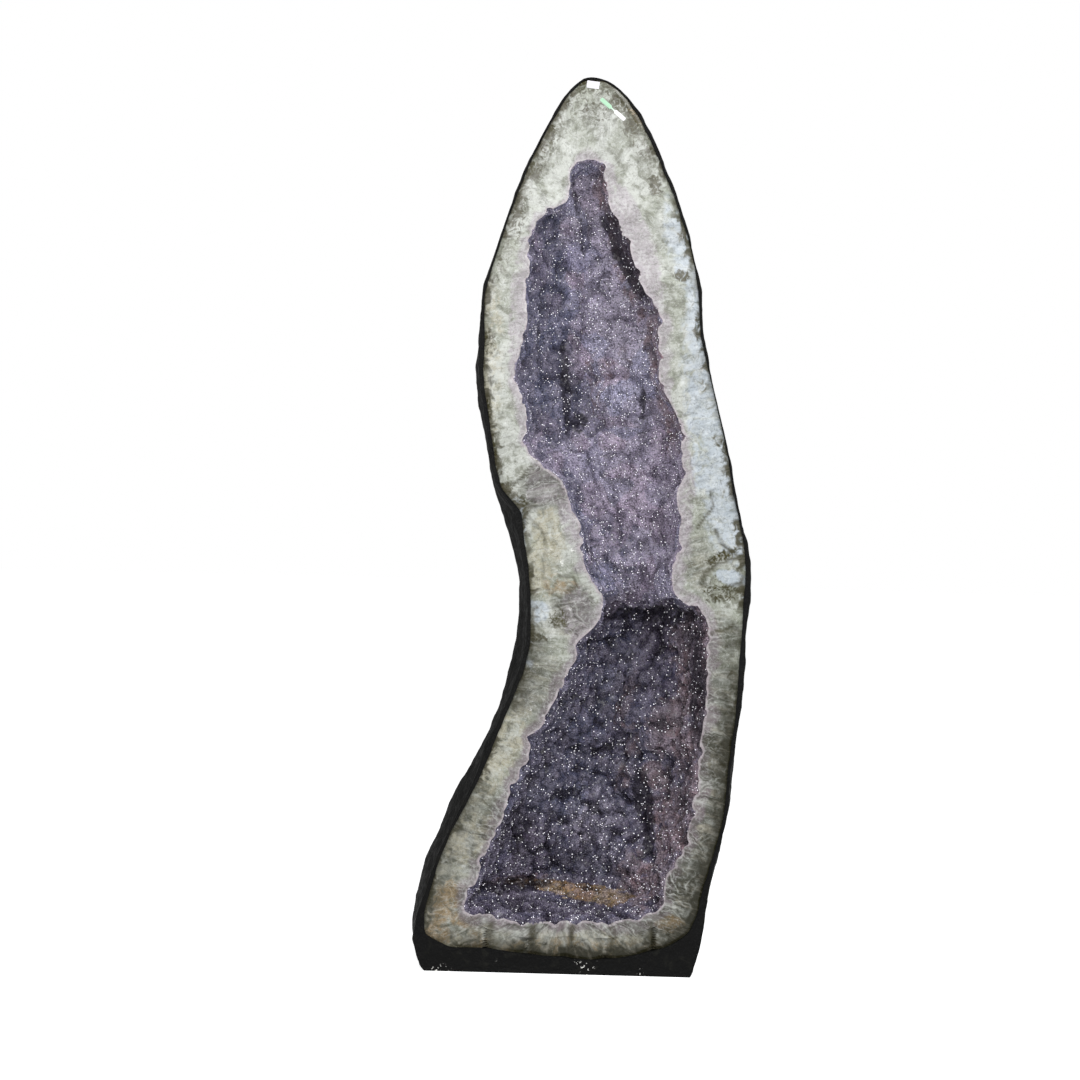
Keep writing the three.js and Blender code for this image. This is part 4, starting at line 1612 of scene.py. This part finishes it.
@dataclass(frozen=True)
class MilkyStone:
    """Sawn and polished quartz: milky, flecked, with fibres that run in from the coat."""

    pale: Colour = (0.440, 0.455, 0.415)
    milky: Colour = (0.300, 0.318, 0.262)
    shadow: Colour = (0.135, 0.140, 0.098)
    white: Colour = (0.66, 0.68, 0.66)
    grey: Colour = (0.145, 0.130, 0.100)
    wisp: Colour = (0.345, 0.318, 0.250)
    dusk: Colour = (0.034, 0.033, 0.021)
    olive: Colour = (0.040, 0.036, 0.015)
    moss: Colour = (0.050, 0.045, 0.014)
    black: Colour = (0.005, 0.006, 0.004)
    # bluish: the stone's own tint, and on the right band a painted sheen of the window light
    blue: Colour = (0.450, 0.505, 0.570)
    straw: Colour = (0.405, 0.378, 0.280)
    stain: Colour = (0.300, 0.200, 0.092)
    lilac: Colour = (0.330, 0.295, 0.320)
    mauve: Colour = (0.165, 0.132, 0.148)
    line: Colour = (0.430, 0.375, 0.405)

    def group(self) -> NodeTree:
        """Makes the stone's colour, gloss and relief as a node group."""
        tints = ("Blue", "Straw", "Olive", "Stain", "Lilac", "Murky", "Crack", "Vein")
        recipe = Recipe(
            "milky_stone",
            {"Where": "Vector", "Fibre": "Vector", "Inset": "Float", "Edge": "Float", **{key: "Float" for key in tints}},
            {"Colour": "Color", "Roughness": "Float", "Height": "Float"},
        )
        g, given = recipe.graph, recipe.given
        where, inset, edge, murky = (given[key] for key in ("Where", "Inset", "Edge", "Murky"))
        clouds = g.noise(where, 15.0, 2.0, 0.6)
        mottle = g.noise(where, 42.0, 3.0, 0.9)
        veins = g.noise(where, 95.0, 4.0, 1.4)
        flecks = g.noise(where, 240.0, 3.0, 0.9)
        streaks = g.noise(g.scaled(given["Fibre"], (80.0, 22.0, 1.0)), 1.0, 4.0, 0.5)
        threads = g.noise(g.scaled(given["Fibre"], (240.0, 50.0, 1.0)), 1.0, 4.0, 0.4)
        panes = g.noise(g.scaled(given["Fibre"], (45.0, 10.0, 1.0)), 1.0, 2.0, 0.5)
        blocks = g.scaled(g.warped(given["Fibre"], 40.0, 0.03), (21.0, 8.0, 1.0))
        veiled = g.math("ADD", g.math("MULTIPLY", murky, 0.75), 0.25)
        stray = g.math("SUBTRACT", g.noise(where, 62.0, 5.0, 1.0), 0.5)
        colour = g.blend(g.between(clouds, 0.42, 0.56), self.milky, self.pale)
        colour = g.blend(g.between(mottle, 0.50, 0.64, 0.0, 0.70), colour, self.shadow)
        colour = g.blend(g.between(mottle, 0.46, 0.36, 0.0, 0.45), colour, self.pale)
        dim = g.blend(g.between(streaks, 0.42, 0.56), self.dusk, self.grey)
        dim = g.blend(g.between(streaks, 0.50, 0.64), dim, self.wisp)
        colour = g.blend(g.math("MULTIPLY", murky, 0.9), colour, dim)
        shares = {"Lilac": 0.85, "Straw": 0.75, "Blue": 0.8, "Stain": 0.8}
        broken = {
            key: g.math("ADD", given[key], g.math("MULTIPLY", stray, g.between(given[key], 0.0, 0.4, 0.0, 3.0)))
            for key in shares
        }
        masks = {key: g.between(broken[key], 0.0, 1.05, 0.0, most) for key, most in shares.items()}
        # the bluish tint is the stone's own on the left and a painted sheen of the window light on the right band
        for key in ("Lilac", "Straw", "Blue", "Stain"):
            colour = g.blend(masks[key], colour, getattr(self, key.lower()))
        strip = g.math("ADD", inset, g.math("MULTIPLY", g.math("SUBTRACT", clouds, 0.46), 0.06))
        low = g.between(g.add("ShaderNodeSeparateXYZ", Vector=where).outputs["Z"], 0.62, 0.50, 0.0, 0.75)
        rim = g.blend(g.math("MAXIMUM", murky, low), self.lilac, self.mauve)
        near = g.math("SUBTRACT", strip, g.math("MULTIPLY", murky, 0.006))
        colour = g.blend(g.between(near, 0.018, 0.007, 0.0, 0.85), colour, rim)
        colour = g.blend(g.math("MULTIPLY", g.between(panes, 0.50, 0.38, 0.0, 0.45), veiled), colour, self.dusk)
        colour = g.blend(g.math("MULTIPLY", g.between(panes, 0.52, 0.64, 0.0, 0.5), murky), colour, self.pale)
        gap = g.cells(blocks, 1.0, "DISTANCE_TO_EDGE").outputs["Distance"]
        tone = g.cells(blocks, 1.0).outputs["Color"]
        colour = g.blend(g.math("MULTIPLY", g.between(tone, 0.2, 0.9, 0.0, 0.6), veiled), colour, self.dusk)
        colour = g.blend(g.math("MULTIPLY", g.between(gap, 0.03, 0.0, 0.0, 0.7), murky), colour, self.dusk)
        glint = g.math("MULTIPLY", g.between(gap, 0.035, 0.05), g.between(gap, 0.075, 0.05))
        colour = g.blend(g.math("MULTIPLY", g.math("MULTIPLY", glint, murky), 0.55), colour, self.pale)
        worn = g.math("ADD", inset, g.math("MULTIPLY", stray, 0.012))
        colour = g.blend(g.between(worn, 0.0048, 0.0010, 0.0, 0.75), colour, self.line)
        colour = g.blend(g.math("MULTIPLY", given["Crack"], g.between(mottle, 0.38, 0.55, 0.2, 0.7)), colour, self.pale)
        for pattern, most in ((veins, 0.45), (threads, 0.35), (flecks, 0.35)):
            colour = g.blend(g.between(pattern, 0.55, 0.67, 0.0, most), colour, g.blend(0.5, colour, self.white))
            colour = g.blend(g.between(pattern, 0.45, 0.34, 0.0, most), colour, g.blend(0.7, colour, self.dusk))
        for scale, low, high, tone in ((46.0, 0.0, 0.016, self.white), (33.0, 0.0, 0.012, self.shadow)):
            ridge = g.math("ABSOLUTE", g.math("SUBTRACT", g.noise(where, scale, 3.0, 1.2), 0.5))
            shown = g.math("MULTIPLY", g.between(ridge, low, high, 0.5, 0.0), g.between(murky, 0.2, 0.8, 1.0, 0.2))
            colour = g.blend(shown, colour, g.blend(0.6, colour, tone))
        shadowy = g.blend(g.between(veins, 0.42, 0.60), self.olive, self.moss)
        fray = g.math("SUBTRACT", g.noise(where, 120.0, 5.0, 1.5), 0.5)
        frays = g.math("MULTIPLY", fray, g.between(given["Olive"], 0.0, 0.3, 0.0, 4.0))
        mossy = g.between(g.math("ADD", given["Olive"], frays), 0.0, 1.35, 0.0, 1.0)
        colour = g.blend(mossy, colour, shadowy)
        colour = g.blend(g.math("MULTIPLY", given["Vein"], g.between(mottle, 0.36, 0.52, 0.45, 0.9)), colour, self.olive)
        frayed = g.math("ADD", edge, g.math("MULTIPLY", stray, 0.06))
        rind = g.math("MULTIPLY", g.between(frayed, 0.001, 0.014, 0.92, 0.0), g.between(clouds, 0.40, 0.52, 0.25, 1.0))
        colour = g.blend(rind, colour, g.blend(g.between(threads, 0.45, 0.6, 0.0, 0.4), self.olive, self.grey))
        dark = g.math("MULTIPLY", murky, g.between(frayed, 0.003, 0.040, 0.97, 0.0))
        gloom = g.blend(g.between(threads, 0.52, 0.66, 0.0, 0.3), g.blend(0.6, self.olive, self.black), self.grey)
        colour = g.blend(dark, colour, gloom)
        fine = g.math("ADD", g.math("MULTIPLY", flecks, 0.5), g.math("MULTIPLY", threads, 0.5))
        return recipe.give(
            Colour=colour,
            Roughness=g.between(mottle, 0.38, 0.62, 0.16, 0.36),
            Height=g.math("ADD", g.math("MULTIPLY", streaks, 0.6), g.math("MULTIPLY", fine, 0.4)),
        )

    @staticmethod
    def place(surface: "Surface", group: NodeTree, lilac: str = "lilac") -> Node:
        """Puts the group into a material.

        Args:
            surface: the material.
            group: the stone's node group.
            lilac: the name under which the mesh carries the stone's lilac tint.

        Returns:
            The group's node.
        """
        g = surface.graph
        fibre = g.add("ShaderNodeUVMap", {"uv_map": "fibre"}).outputs[0]
        keys = ("Inset", "Edge", "Blue", "Straw", "Olive", "Stain", "Murky", "Crack", "Vein")
        numbers = {key: g.named(key.lower()) for key in keys}
        node = g.add("ShaderNodeGroup", {"node_tree": group}, Where=surface.where, Fibre=fibre, **numbers)
        g.put(node.inputs["Lilac"], g.named(lilac))
        return node


@dataclass(frozen=True)
class PolishedBand:
    """The milky stone under a hard polish."""

    stone: NodeTree

    def material(self) -> Material:
        """Makes the finish."""
        surface = Surface("polished_quartz")
        stone = MilkyStone.place(surface, self.stone)
        return surface.finish(
            Base_Color=stone.outputs["Colour"],
            Roughness=stone.outputs["Roughness"],
            IOR=1.54,
            Specular_IOR_Level=0.28,
            Coat_Weight=0.12,
            Coat_Roughness=0.08,
            Normal=surface.graph.bump(stone.outputs["Height"], 0.4, 0.0014),
        )


@dataclass(frozen=True)
class DruseTint:
    """The amethyst's colour, with painted shade in its creases and shaded places and painted highlights on its crests,
    for the crystals and the crust that they stand on.
    """

    FIELDS: ClassVar[tuple[str, ...]] = ("Slate", "Rust", "Lilac", "Ochre", "Shade", "Lump", "Bead", "Mass", "Hue", "Cap")
    purple: Colour = (0.350, 0.316, 0.430)
    pale: Colour = (0.590, 0.540, 0.670)
    slate: Colour = (0.100, 0.106, 0.172)
    # the lower chamber's darker colour: partly its own, partly painted shade under the overhang
    deep: Colour = (0.098, 0.086, 0.140)
    # reddish brown: the druse's rust, also painted as shade on walls that face left
    rust: Colour = (0.260, 0.185, 0.200)
    ochre: Colour = (0.400, 0.262, 0.120)
    # painted shade: the near-black towards which creases, shaded places and fine specks are darkened
    painted_shade: Colour = (0.012, 0.009, 0.016)
    cool: Colour = (0.90, 0.97, 1.05)  # this and the next three multiply the colour of some lumps
    warm: Colour = (1.07, 0.99, 0.99)
    dull: Colour = (0.72, 0.71, 0.74)
    bright: Colour = (1.30, 1.28, 1.28)

    def group(self) -> NodeTree:
        """Makes the colour, with its painted shade and highlights, as a node group."""
        recipe = Recipe(
            "druse_tint",
            {"Where": "Vector", **{key: "Float" for key in self.FIELDS}},
            {"Colour": "Color", "Lighter": "Color"},
        )
        g, given = recipe.graph, recipe.given
        where = given["Where"]
        clouds = g.noise(where, 26.0, 4.0, 0.6)
        stray = g.math("MULTIPLY", g.math("SUBTRACT", g.noise(where, 60.0, 4.0, 0.8), 0.5), 3.0)
        height = g.add("ShaderNodeSeparateXYZ", Vector=where).outputs["Z"]
        low = g.between(height, 0.66, 0.56)
        colour = g.blend(g.between(clouds, 0.42, 0.62, 0.0, 0.35), self.purple, self.pale)
        # darker in the lower chamber: partly the druse's own colour, partly painted shade under the overhang
        colour = g.blend(g.math("MULTIPLY", low, 0.96), colour, self.deep)
        shares = {"Slate": (self.slate, 0.85), "Lilac": (self.pale, 0.5), "Rust": (self.rust, 0.9), "Ochre": (self.ochre, 0.95)}
        for key, (tone, most) in shares.items():
            broken = g.math("ADD", given[key], g.math("MULTIPLY", stray, g.between(given[key], 0.0, 0.4)))
            colour = g.blend(g.between(broken, 0.15, 0.85, 0.0, most), colour, tone)
        for number, start, full, tone in (
            ("Hue", 0.45, 0.05, self.cool),
            ("Hue", 0.55, 0.95, self.warm),
            ("Cap", 0.45, 0.10, self.dull),
            ("Cap", 0.50, 0.85, self.bright),
        ):
            colour = g.blend(g.between(given[number], start, full), colour, tone, "MULTIPLY")
        # painted highlight: the crests of the lumps and beads are made paler
        top = g.math("MULTIPLY", g.between(given["Lump"], 0.72, 0.99), g.between(given["Bead"], 0.5, 0.98, 0.35, 1.0))
        lighter = g.blend(0.34, colour, self.pale)
        colour = g.blend(top, colour, lighter)
        # painted shade: the creases between lumps, beads and masses are darkened, more so in the lower chamber
        hollow = g.math("MULTIPLY", g.between(given["Lump"], 0.25, 0.80, 0.15, 1.0), g.between(given["Mass"], 0.0, 0.6, 0.3, 1.0))
        hollow = g.math("MULTIPLY", hollow, g.between(given["Bead"], 0.2, 0.8, 0.5, 1.0))
        depth = g.math("MULTIPLY", g.math("SUBTRACT", 1.0, hollow), g.between(low, 0.0, 1.0, 0.50, 0.95))
        colour = g.blend(depth, colour, self.painted_shade)
        specks = g.noise(where, 300.0, 2.0, 0.5)
        colour = g.blend(g.between(specks, 0.48, 0.38, 0.0, 0.7), colour, self.painted_shade)
        # painted shade: the Shade patches darken the colour towards the near-black
        broken = g.math("ADD", given["Shade"], g.math("MULTIPLY", stray, g.between(given["Shade"], 0.0, 0.4)))
        shade = g.between(broken, 0.1, 0.9, 0.0, 0.82)
        colour = g.blend(shade, colour, self.painted_shade)
        return recipe.give(Colour=colour, Lighter=g.blend(shade, lighter, colour))

    @classmethod
    def place(cls, surface: "Surface", group: NodeTree) -> Node:
        """Puts the group into a material and joins it to the mesh's numbers."""
        numbers = {key: surface.graph.named(key.lower()) for key in cls.FIELDS}
        return surface.graph.add("ShaderNodeGroup", {"node_tree": group}, Where=surface.where, **numbers)


@dataclass(frozen=True)
class DruseBed:
    """The crust under the crystals, darkened with painted shade, and its sawn lip of milky stone."""

    stone: NodeTree
    tint: NodeTree
    # painted shade: the dark that the crust under the crystals is pulled towards
    gloom: Colour = (0.010, 0.008, 0.013)

    def material(self) -> Material:
        """Makes the finish."""
        surface = Surface("druse_bed")
        g, where = surface.graph, surface.where
        stone = MilkyStone.place(surface, self.stone, "stone_lilac")
        fine = g.noise(where, 260.0, 4.0, 0.5)
        sawn = g.named("sawn")
        # painted shade: the crust that shows between the crystals is darkened by almost half
        crust = g.blend(0.45, DruseTint.place(surface, self.tint).outputs["Colour"], self.gloom)
        colour = g.blend(g.between(sawn, 0.55, 0.95), crust, stone.outputs["Colour"])
        rough = g.math("ADD", g.between(sawn, 0.5, 1.0, 0.3, 0.0), g.math("MULTIPLY", stone.outputs["Roughness"], sawn))
        height = g.math("ADD", g.math("MULTIPLY", stone.outputs["Height"], sawn), g.math("MULTIPLY", fine, 0.3))
        return surface.finish(
            Base_Color=colour,
            Roughness=rough,
            IOR=1.54,
            Specular_IOR_Level=0.28,
            Coat_Weight=0.12,
            Coat_Roughness=0.08,
            Normal=g.bump(height, 0.4, 0.0014),
        )


@dataclass(frozen=True)
class AmethystPoints:
    """The crystals: greyish purple, partly clear, with painted glints: a few crystals are painted near white and glow a
    little.
    """

    tint: NodeTree
    painted_glint: Colour = (0.95, 0.94, 1.0)

    def material(self) -> Material:
        """Makes the finish."""
        surface = Surface("amethyst_points")
        g = surface.graph
        druse = DruseTint.place(surface, self.tint)
        tint = g.named("tint")
        colour = g.blend(g.between(tint, 0.0, 0.86, 0.0, 0.4), druse.outputs["Colour"], druse.outputs["Lighter"])
        height = g.add("ShaderNodeSeparateXYZ", Vector=surface.where).outputs["Z"]
        # painted glints: the crystals with the highest tint, a few more above the lower chamber, are painted near white
        bright = g.between(g.math("ADD", tint, g.between(height, 0.55, 0.65, 0.0, 0.022)), 0.90, 0.93)
        return surface.finish(
            Base_Color=g.blend(g.math("MULTIPLY", bright, 0.9), colour, self.painted_glint),
            Roughness=0.2,
            IOR=1.54,
            Specular_IOR_Level=0.3,
            Transmission_Weight=0.05,
            Coat_Weight=0.1,
            Coat_Roughness=0.06,
            # painted glints: the same crystals glow a little, though they are no lamp
            Emission_Color=g.blend(bright, (0.0, 0.0, 0.0), self.painted_glint),
            Emission_Strength=0.8,
        )


@dataclass(frozen=True)
class BlackCoat:
    """Black paint on rough cement, with pale chips along the foot."""

    paint: Colour = (0.003, 0.003, 0.003)
    worn: Colour = (0.012, 0.012, 0.010)
    chip: Colour = (0.75, 0.74, 0.70)

    def material(self) -> Material:
        """Makes the finish."""
        surface = Surface("black_coat_paint")
        g, where = surface.graph, surface.where
        rough = g.noise(where, 90.0, 6.0, 0.3)
        pits = g.cells(where, 320.0).outputs["Distance"]
        spots = g.noise(where, 230.0, 2.0, 0.4)
        low = g.between(g.add("ShaderNodeSeparateXYZ", Vector=where).outputs["Z"], 0.012, 0.030, 1.0, 0.0)
        patchy = g.between(g.noise(where, 11.0, 2.0), 0.54, 0.60)
        chips = g.math("MULTIPLY", g.math("MULTIPLY", g.between(spots, 0.65, 0.67), low), patchy)
        colour = g.blend(g.between(rough, 0.5, 0.8), self.paint, self.worn)
        colour = g.blend(chips, colour, self.chip)
        height = g.math("ADD", rough, g.math("MULTIPLY", pits, 0.4))
        return surface.finish(
            Base_Color=colour,
            Roughness=g.between(rough, 0.3, 0.7, 0.42, 0.68),
            Specular_IOR_Level=0.12,
            Normal=g.bump(height, 0.6, 0.003),
        )


@dataclass(frozen=True)
class Sheet:
    """The paper or film of a sticker, which may fade from one colour to another."""

    name: str
    near: Colour
    far: Colour
    roughness: float

    def material(self) -> Material:
        """Makes the finish."""
        surface = Surface(self.name)
        g = surface.graph
        fibres = g.noise(surface.where, 900.0, 4.0)
        colour = g.blend(g.between(g.named("end"), 0.35, 0.65), self.near, self.far)
        colour = g.blend(g.between(fibres, 0.4, 0.8, 0.0, 0.25), colour, g.blend(0.4, colour, (0.6, 0.6, 0.62)))
        return surface.finish(
            Base_Color=colour,
            Roughness=g.between(fibres, 0.2, 0.8, self.roughness - 0.1, self.roughness + 0.1),
            Normal=g.bump(fibres, 0.15, 0.0003),
        )


# ---------------------------------------------------------------- stickers


@dataclass
class Sticker:
    """A small sheet on the face, slightly curled off it at its ends."""

    name: str
    node: str
    tilt: float  # degrees, anticlockwise
    length: float
    width: Callable[[float], float]  # the sheet's width at a share of its length
    curl: float
    steps: int = 48
    across: int = 10
    thickness: float = 0.25 * MM

    def build(self) -> Object:
        """Makes the sheet as a thin closed solid, in the place of its node."""
        low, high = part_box(self.node)
        middle = (low + high) / 2
        turn = math.radians(self.tilt)
        rows = []
        shares = np.linspace(0, 1, self.steps + 1)
        for side in (0.0, 1.0):
            for share in shares:
                half = self.width(share) / 2
                line = np.linspace(-half, half, self.across + 1)
                along = (share - 0.5) * self.length
                lift = self.curl * (2 * share - 1) ** 4 + 0.12 * MM * np.sin(share * 9 + line * 220)
                x = middle.x + along * math.cos(turn) - line * math.sin(turn)
                z = middle.z + along * math.sin(turn) + line * math.cos(turn)
                y = np.full(len(line), high.y - side * self.thickness) - lift
                rows.append(np.stack([x, y, z], axis=1))
        grid = np.array(rows).reshape(2, self.steps + 1, self.across + 1, 3)
        number = np.arange(grid[..., 0].size).reshape(grid.shape[:3])
        faces = []
        for side in (0, 1):
            sheet = number[side]
            quads = np.stack([sheet[:-1, :-1], sheet[1:, :-1], sheet[1:, 1:], sheet[:-1, 1:]], axis=-1).reshape(-1, 4)
            faces += quads.tolist() if side else quads[:, ::-1].tolist()
        edge = [*number[:, :, 0].T, *number[:, -1, 1:].T, *number[:, ::-1, -1].T[1:], *number[:, 0, -2:0:-1].T]
        for (back, front), (back_next, front_next) in zip(edge, [*edge[1:], edge[0]]):
            faces.append([int(back), int(back_next), int(front_next), int(front)])
        values = {"end": np.tile(np.repeat(shares, self.across + 1), 2)}
        return mesh_object(self.name, grid.reshape(-1, 3), faces, values, smooth=False)


def rounded(width: float, length: float, corner: float) -> Callable[[float], float]:
    """The width of a rounded rectangle along its length.

    Args:
        width: its full width.
        length: its full length.
        corner: the radius of its corners.

    Returns:
        A function from a share of the length to the width there.
    """

    def at(share: float) -> float:
        """The width at a share of the length."""
        end = min(share, 1 - share) * length
        inset = corner - math.sqrt(max(0.0, corner**2 - max(0.0, corner - end) ** 2))
        return width - 2 * inset

    return at


def dumbbell(width: float, neck: float, length: float, paddle: float, corner: float) -> Callable[[float], float]:
    """The width of two paddles joined by a neck, along its length.

    Args:
        width: the width of a paddle.
        neck: the width of the neck.
        length: the full length.
        paddle: the length of a paddle.
        corner: the radius of the corners.

    Returns:
        A function from a share of the length to the width there.
    """
    outline = rounded(width, length, corner)

    def at(share: float) -> float:
        """The width at a share of the length."""
        end = min(share, 1 - share) * length
        ease = min(1.0, max(0.0, (end - paddle) / corner))
        return outline(share) + (neck - width) * ease

    return at


# ---------------------------------------------------------------- studio


@dataclass(frozen=True)
class Lamp:
    """A square area light aimed at the geode."""

    name: str
    place: tuple[float, float, float]
    side: float
    power: float
    colour: tuple[float, float, float] = (1.0, 1.0, 1.0)

    def hang(self, target: Vector) -> None:
        """Adds the light to the scene.

        Args:
            target: the place that the light is aimed at.
        """
        data = bpy.data.lights.new(self.name, "AREA")
        data.size, data.energy, data.color = self.side, self.power, self.colour
        lamp = bpy.data.objects.new(self.name, data)
        lamp.location = self.place
        lamp.rotation_euler = (target - Vector(self.place)).to_track_quat("-Z", "Y").to_euler()
        bpy.context.scene.collection.objects.link(lamp)


@dataclass
class Studio:
    """A pale floor, soft light and the camera."""

    lamps: tuple[Lamp, ...] = (
        Lamp("key", (1.3, -2.6, 3.4), 1.2, 46.0),
        Lamp("window", (3.0, -1.0, 1.7), 1.2, 16.0, (0.82, 0.91, 1.0)),
        Lamp("fill", (-2.0, -3.6, 2.2), 1.8, 24.0),
        Lamp("front", (-0.1, -4.6, 1.9), 1.4, 50.0),
        Lamp("spot_a", (0.3, -2.2, 3.6), 0.12, 7.0),
        Lamp("spot_b", (-0.9, -1.8, 3.2), 0.12, 6.0),
        Lamp("spot_c", (1.9, -1.5, 2.6), 0.12, 6.0),
        Lamp("spot_d", (-1.6, -3.2, 2.2), 0.12, 6.0),
        Lamp("spot_e", (0.9, -3.8, 2.0), 0.12, 7.0),
        Lamp("spot_f", (-0.3, -4.2, 0.6), 0.12, 4.0),
    )
    distance: float = 3.2  # from the camera to the sawn face
    span: float = 1.796  # how much of the face's plane the picture is wide
    centre: tuple[float, float] = (-0.0755, 0.721)  # the face's point in the middle of the picture
    roll: float = 1.5  # degrees

    def build(self) -> None:
        """Sets up the floor, the light and the camera."""
        self._floor()
        self._world()
        target = Vector((0.0, FACE_Y, 0.75))
        for lamp in self.lamps:
            lamp.hang(target)
        self._camera()
        bpy.context.scene.view_settings.view_transform = "Standard"

    def _floor(self) -> None:
        """A wide round floor."""
        count, radius = 96, 30.0
        turns = np.linspace(0, math.tau, count, endpoint=False)
        points = np.stack([radius * np.cos(turns), radius * np.sin(turns), np.zeros(count)], axis=1)
        floor = mesh_object("floor", points, [list(range(count))], smooth=False)
        surface = Surface("floor_paint")
        g = surface.graph
        tone = g.blend(g.noise(surface.where, 0.8, 2.0), (0.86, 0.86, 0.86), (0.90, 0.90, 0.90))
        seen = g.add("ShaderNodeLightPath").outputs["Is Camera Ray"]
        glow = g.blend(seen, (0.0, 0.0, 0.0), (0.74, 0.745, 0.745))
        floor.data.materials.append(
            surface.finish(Base_Color=tone, Roughness=0.95, Specular_IOR_Level=0.0, Emission_Color=glow, Emission_Strength=1.0)
        )

    @staticmethod
    def _world() -> None:
        """An even pale surround: white to the eye, softer as light."""
        world = bpy.data.worlds.new("surround")
        bpy.context.scene.world = world
        world.use_nodes = True
        graph = Graph(world.node_tree)
        background = world.node_tree.nodes["Background"]
        seen = graph.add("ShaderNodeLightPath").outputs["Is Camera Ray"]
        graph.put(background.inputs["Color"], (1.0, 1.0, 1.0, 1.0))
        graph.put(background.inputs["Strength"], graph.between(seen, 0.0, 1.0, 0.30, 1.0))

    def _camera(self) -> None:
        """A level camera in front of the face, turned about its own axis by the roll."""
        data = bpy.data.cameras.new("camera")
        data.sensor_width = 36.0
        data.lens = data.sensor_width * self.distance / self.span
        camera = bpy.data.objects.new("camera", data)
        camera.location = (self.centre[0], FACE_Y - self.distance, self.centre[1])
        camera.rotation_euler = (math.pi / 2, 0.0, 0.0)
        camera.rotation_euler.rotate_axis("Z", math.radians(self.roll))
        bpy.context.scene.collection.objects.link(camera)
        bpy.context.scene.camera = camera


# ---------------------------------------------------------------- the geode


def show(piece: Object, slot: str, *nodes: str) -> None:
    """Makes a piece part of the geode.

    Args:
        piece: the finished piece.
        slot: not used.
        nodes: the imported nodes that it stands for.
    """
    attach(piece, "root")
    if nodes:
        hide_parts(*nodes)
    LOG.info("%s: %d faces", piece.name, len(piece.data.polygons))


def main() -> None:
    """Builds the geode, its studio and its camera."""
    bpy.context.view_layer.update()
    Studio().build()
    face = SawnFace()
    stone, tint = MilkyStone().group(), DruseTint().group()

    druse = Druse(face)
    bed = druse.build()
    bed.data.materials.append(DruseBed(stone, tint).material())
    show(bed, "amethyst", "amethyst_druse")
    for crystals in Crystals().build(bed, AmethystPoints(tint).material()):
        show(crystals, "amethyst", "amethyst_druse")

    band = QuartzBand(face, druse.rim).build()
    band.data.materials.append(PolishedBand(stone).material())
    show(band, "quartz", "quartz_band")

    coat = Coat().build(face)
    coat.data.materials.append(BlackCoat().material())
    show(coat, "black_coat", "black_coat_and_foot")

    label = Sticker("price_label_paper", "price_label", -6.0, 21 * MM, rounded(12 * MM, 21 * MM, 1.2 * MM), 0.3 * MM).build()
    label.data.materials.append(Sheet("label_paper", (0.74, 0.72, 0.78), (0.78, 0.76, 0.80), 0.6).material())
    show(label, "label_paper", "price_label")
    tag_width = dumbbell(6.8 * MM, 2.6 * MM, 53 * MM, 21.5 * MM, 1.5 * MM)
    tag = Sticker("dumbbell_tag_film", "dumbbell_tag", -40.0, 53 * MM, tag_width, 0.5 * MM).build()
    tag.data.materials.append(Sheet("tag_film", (0.36, 0.62, 0.42), (0.80, 0.80, 0.80), 0.45).material())
    show(tag, "tag_film", "dumbbell_tag")


if __name__ == "__main__":
    main()
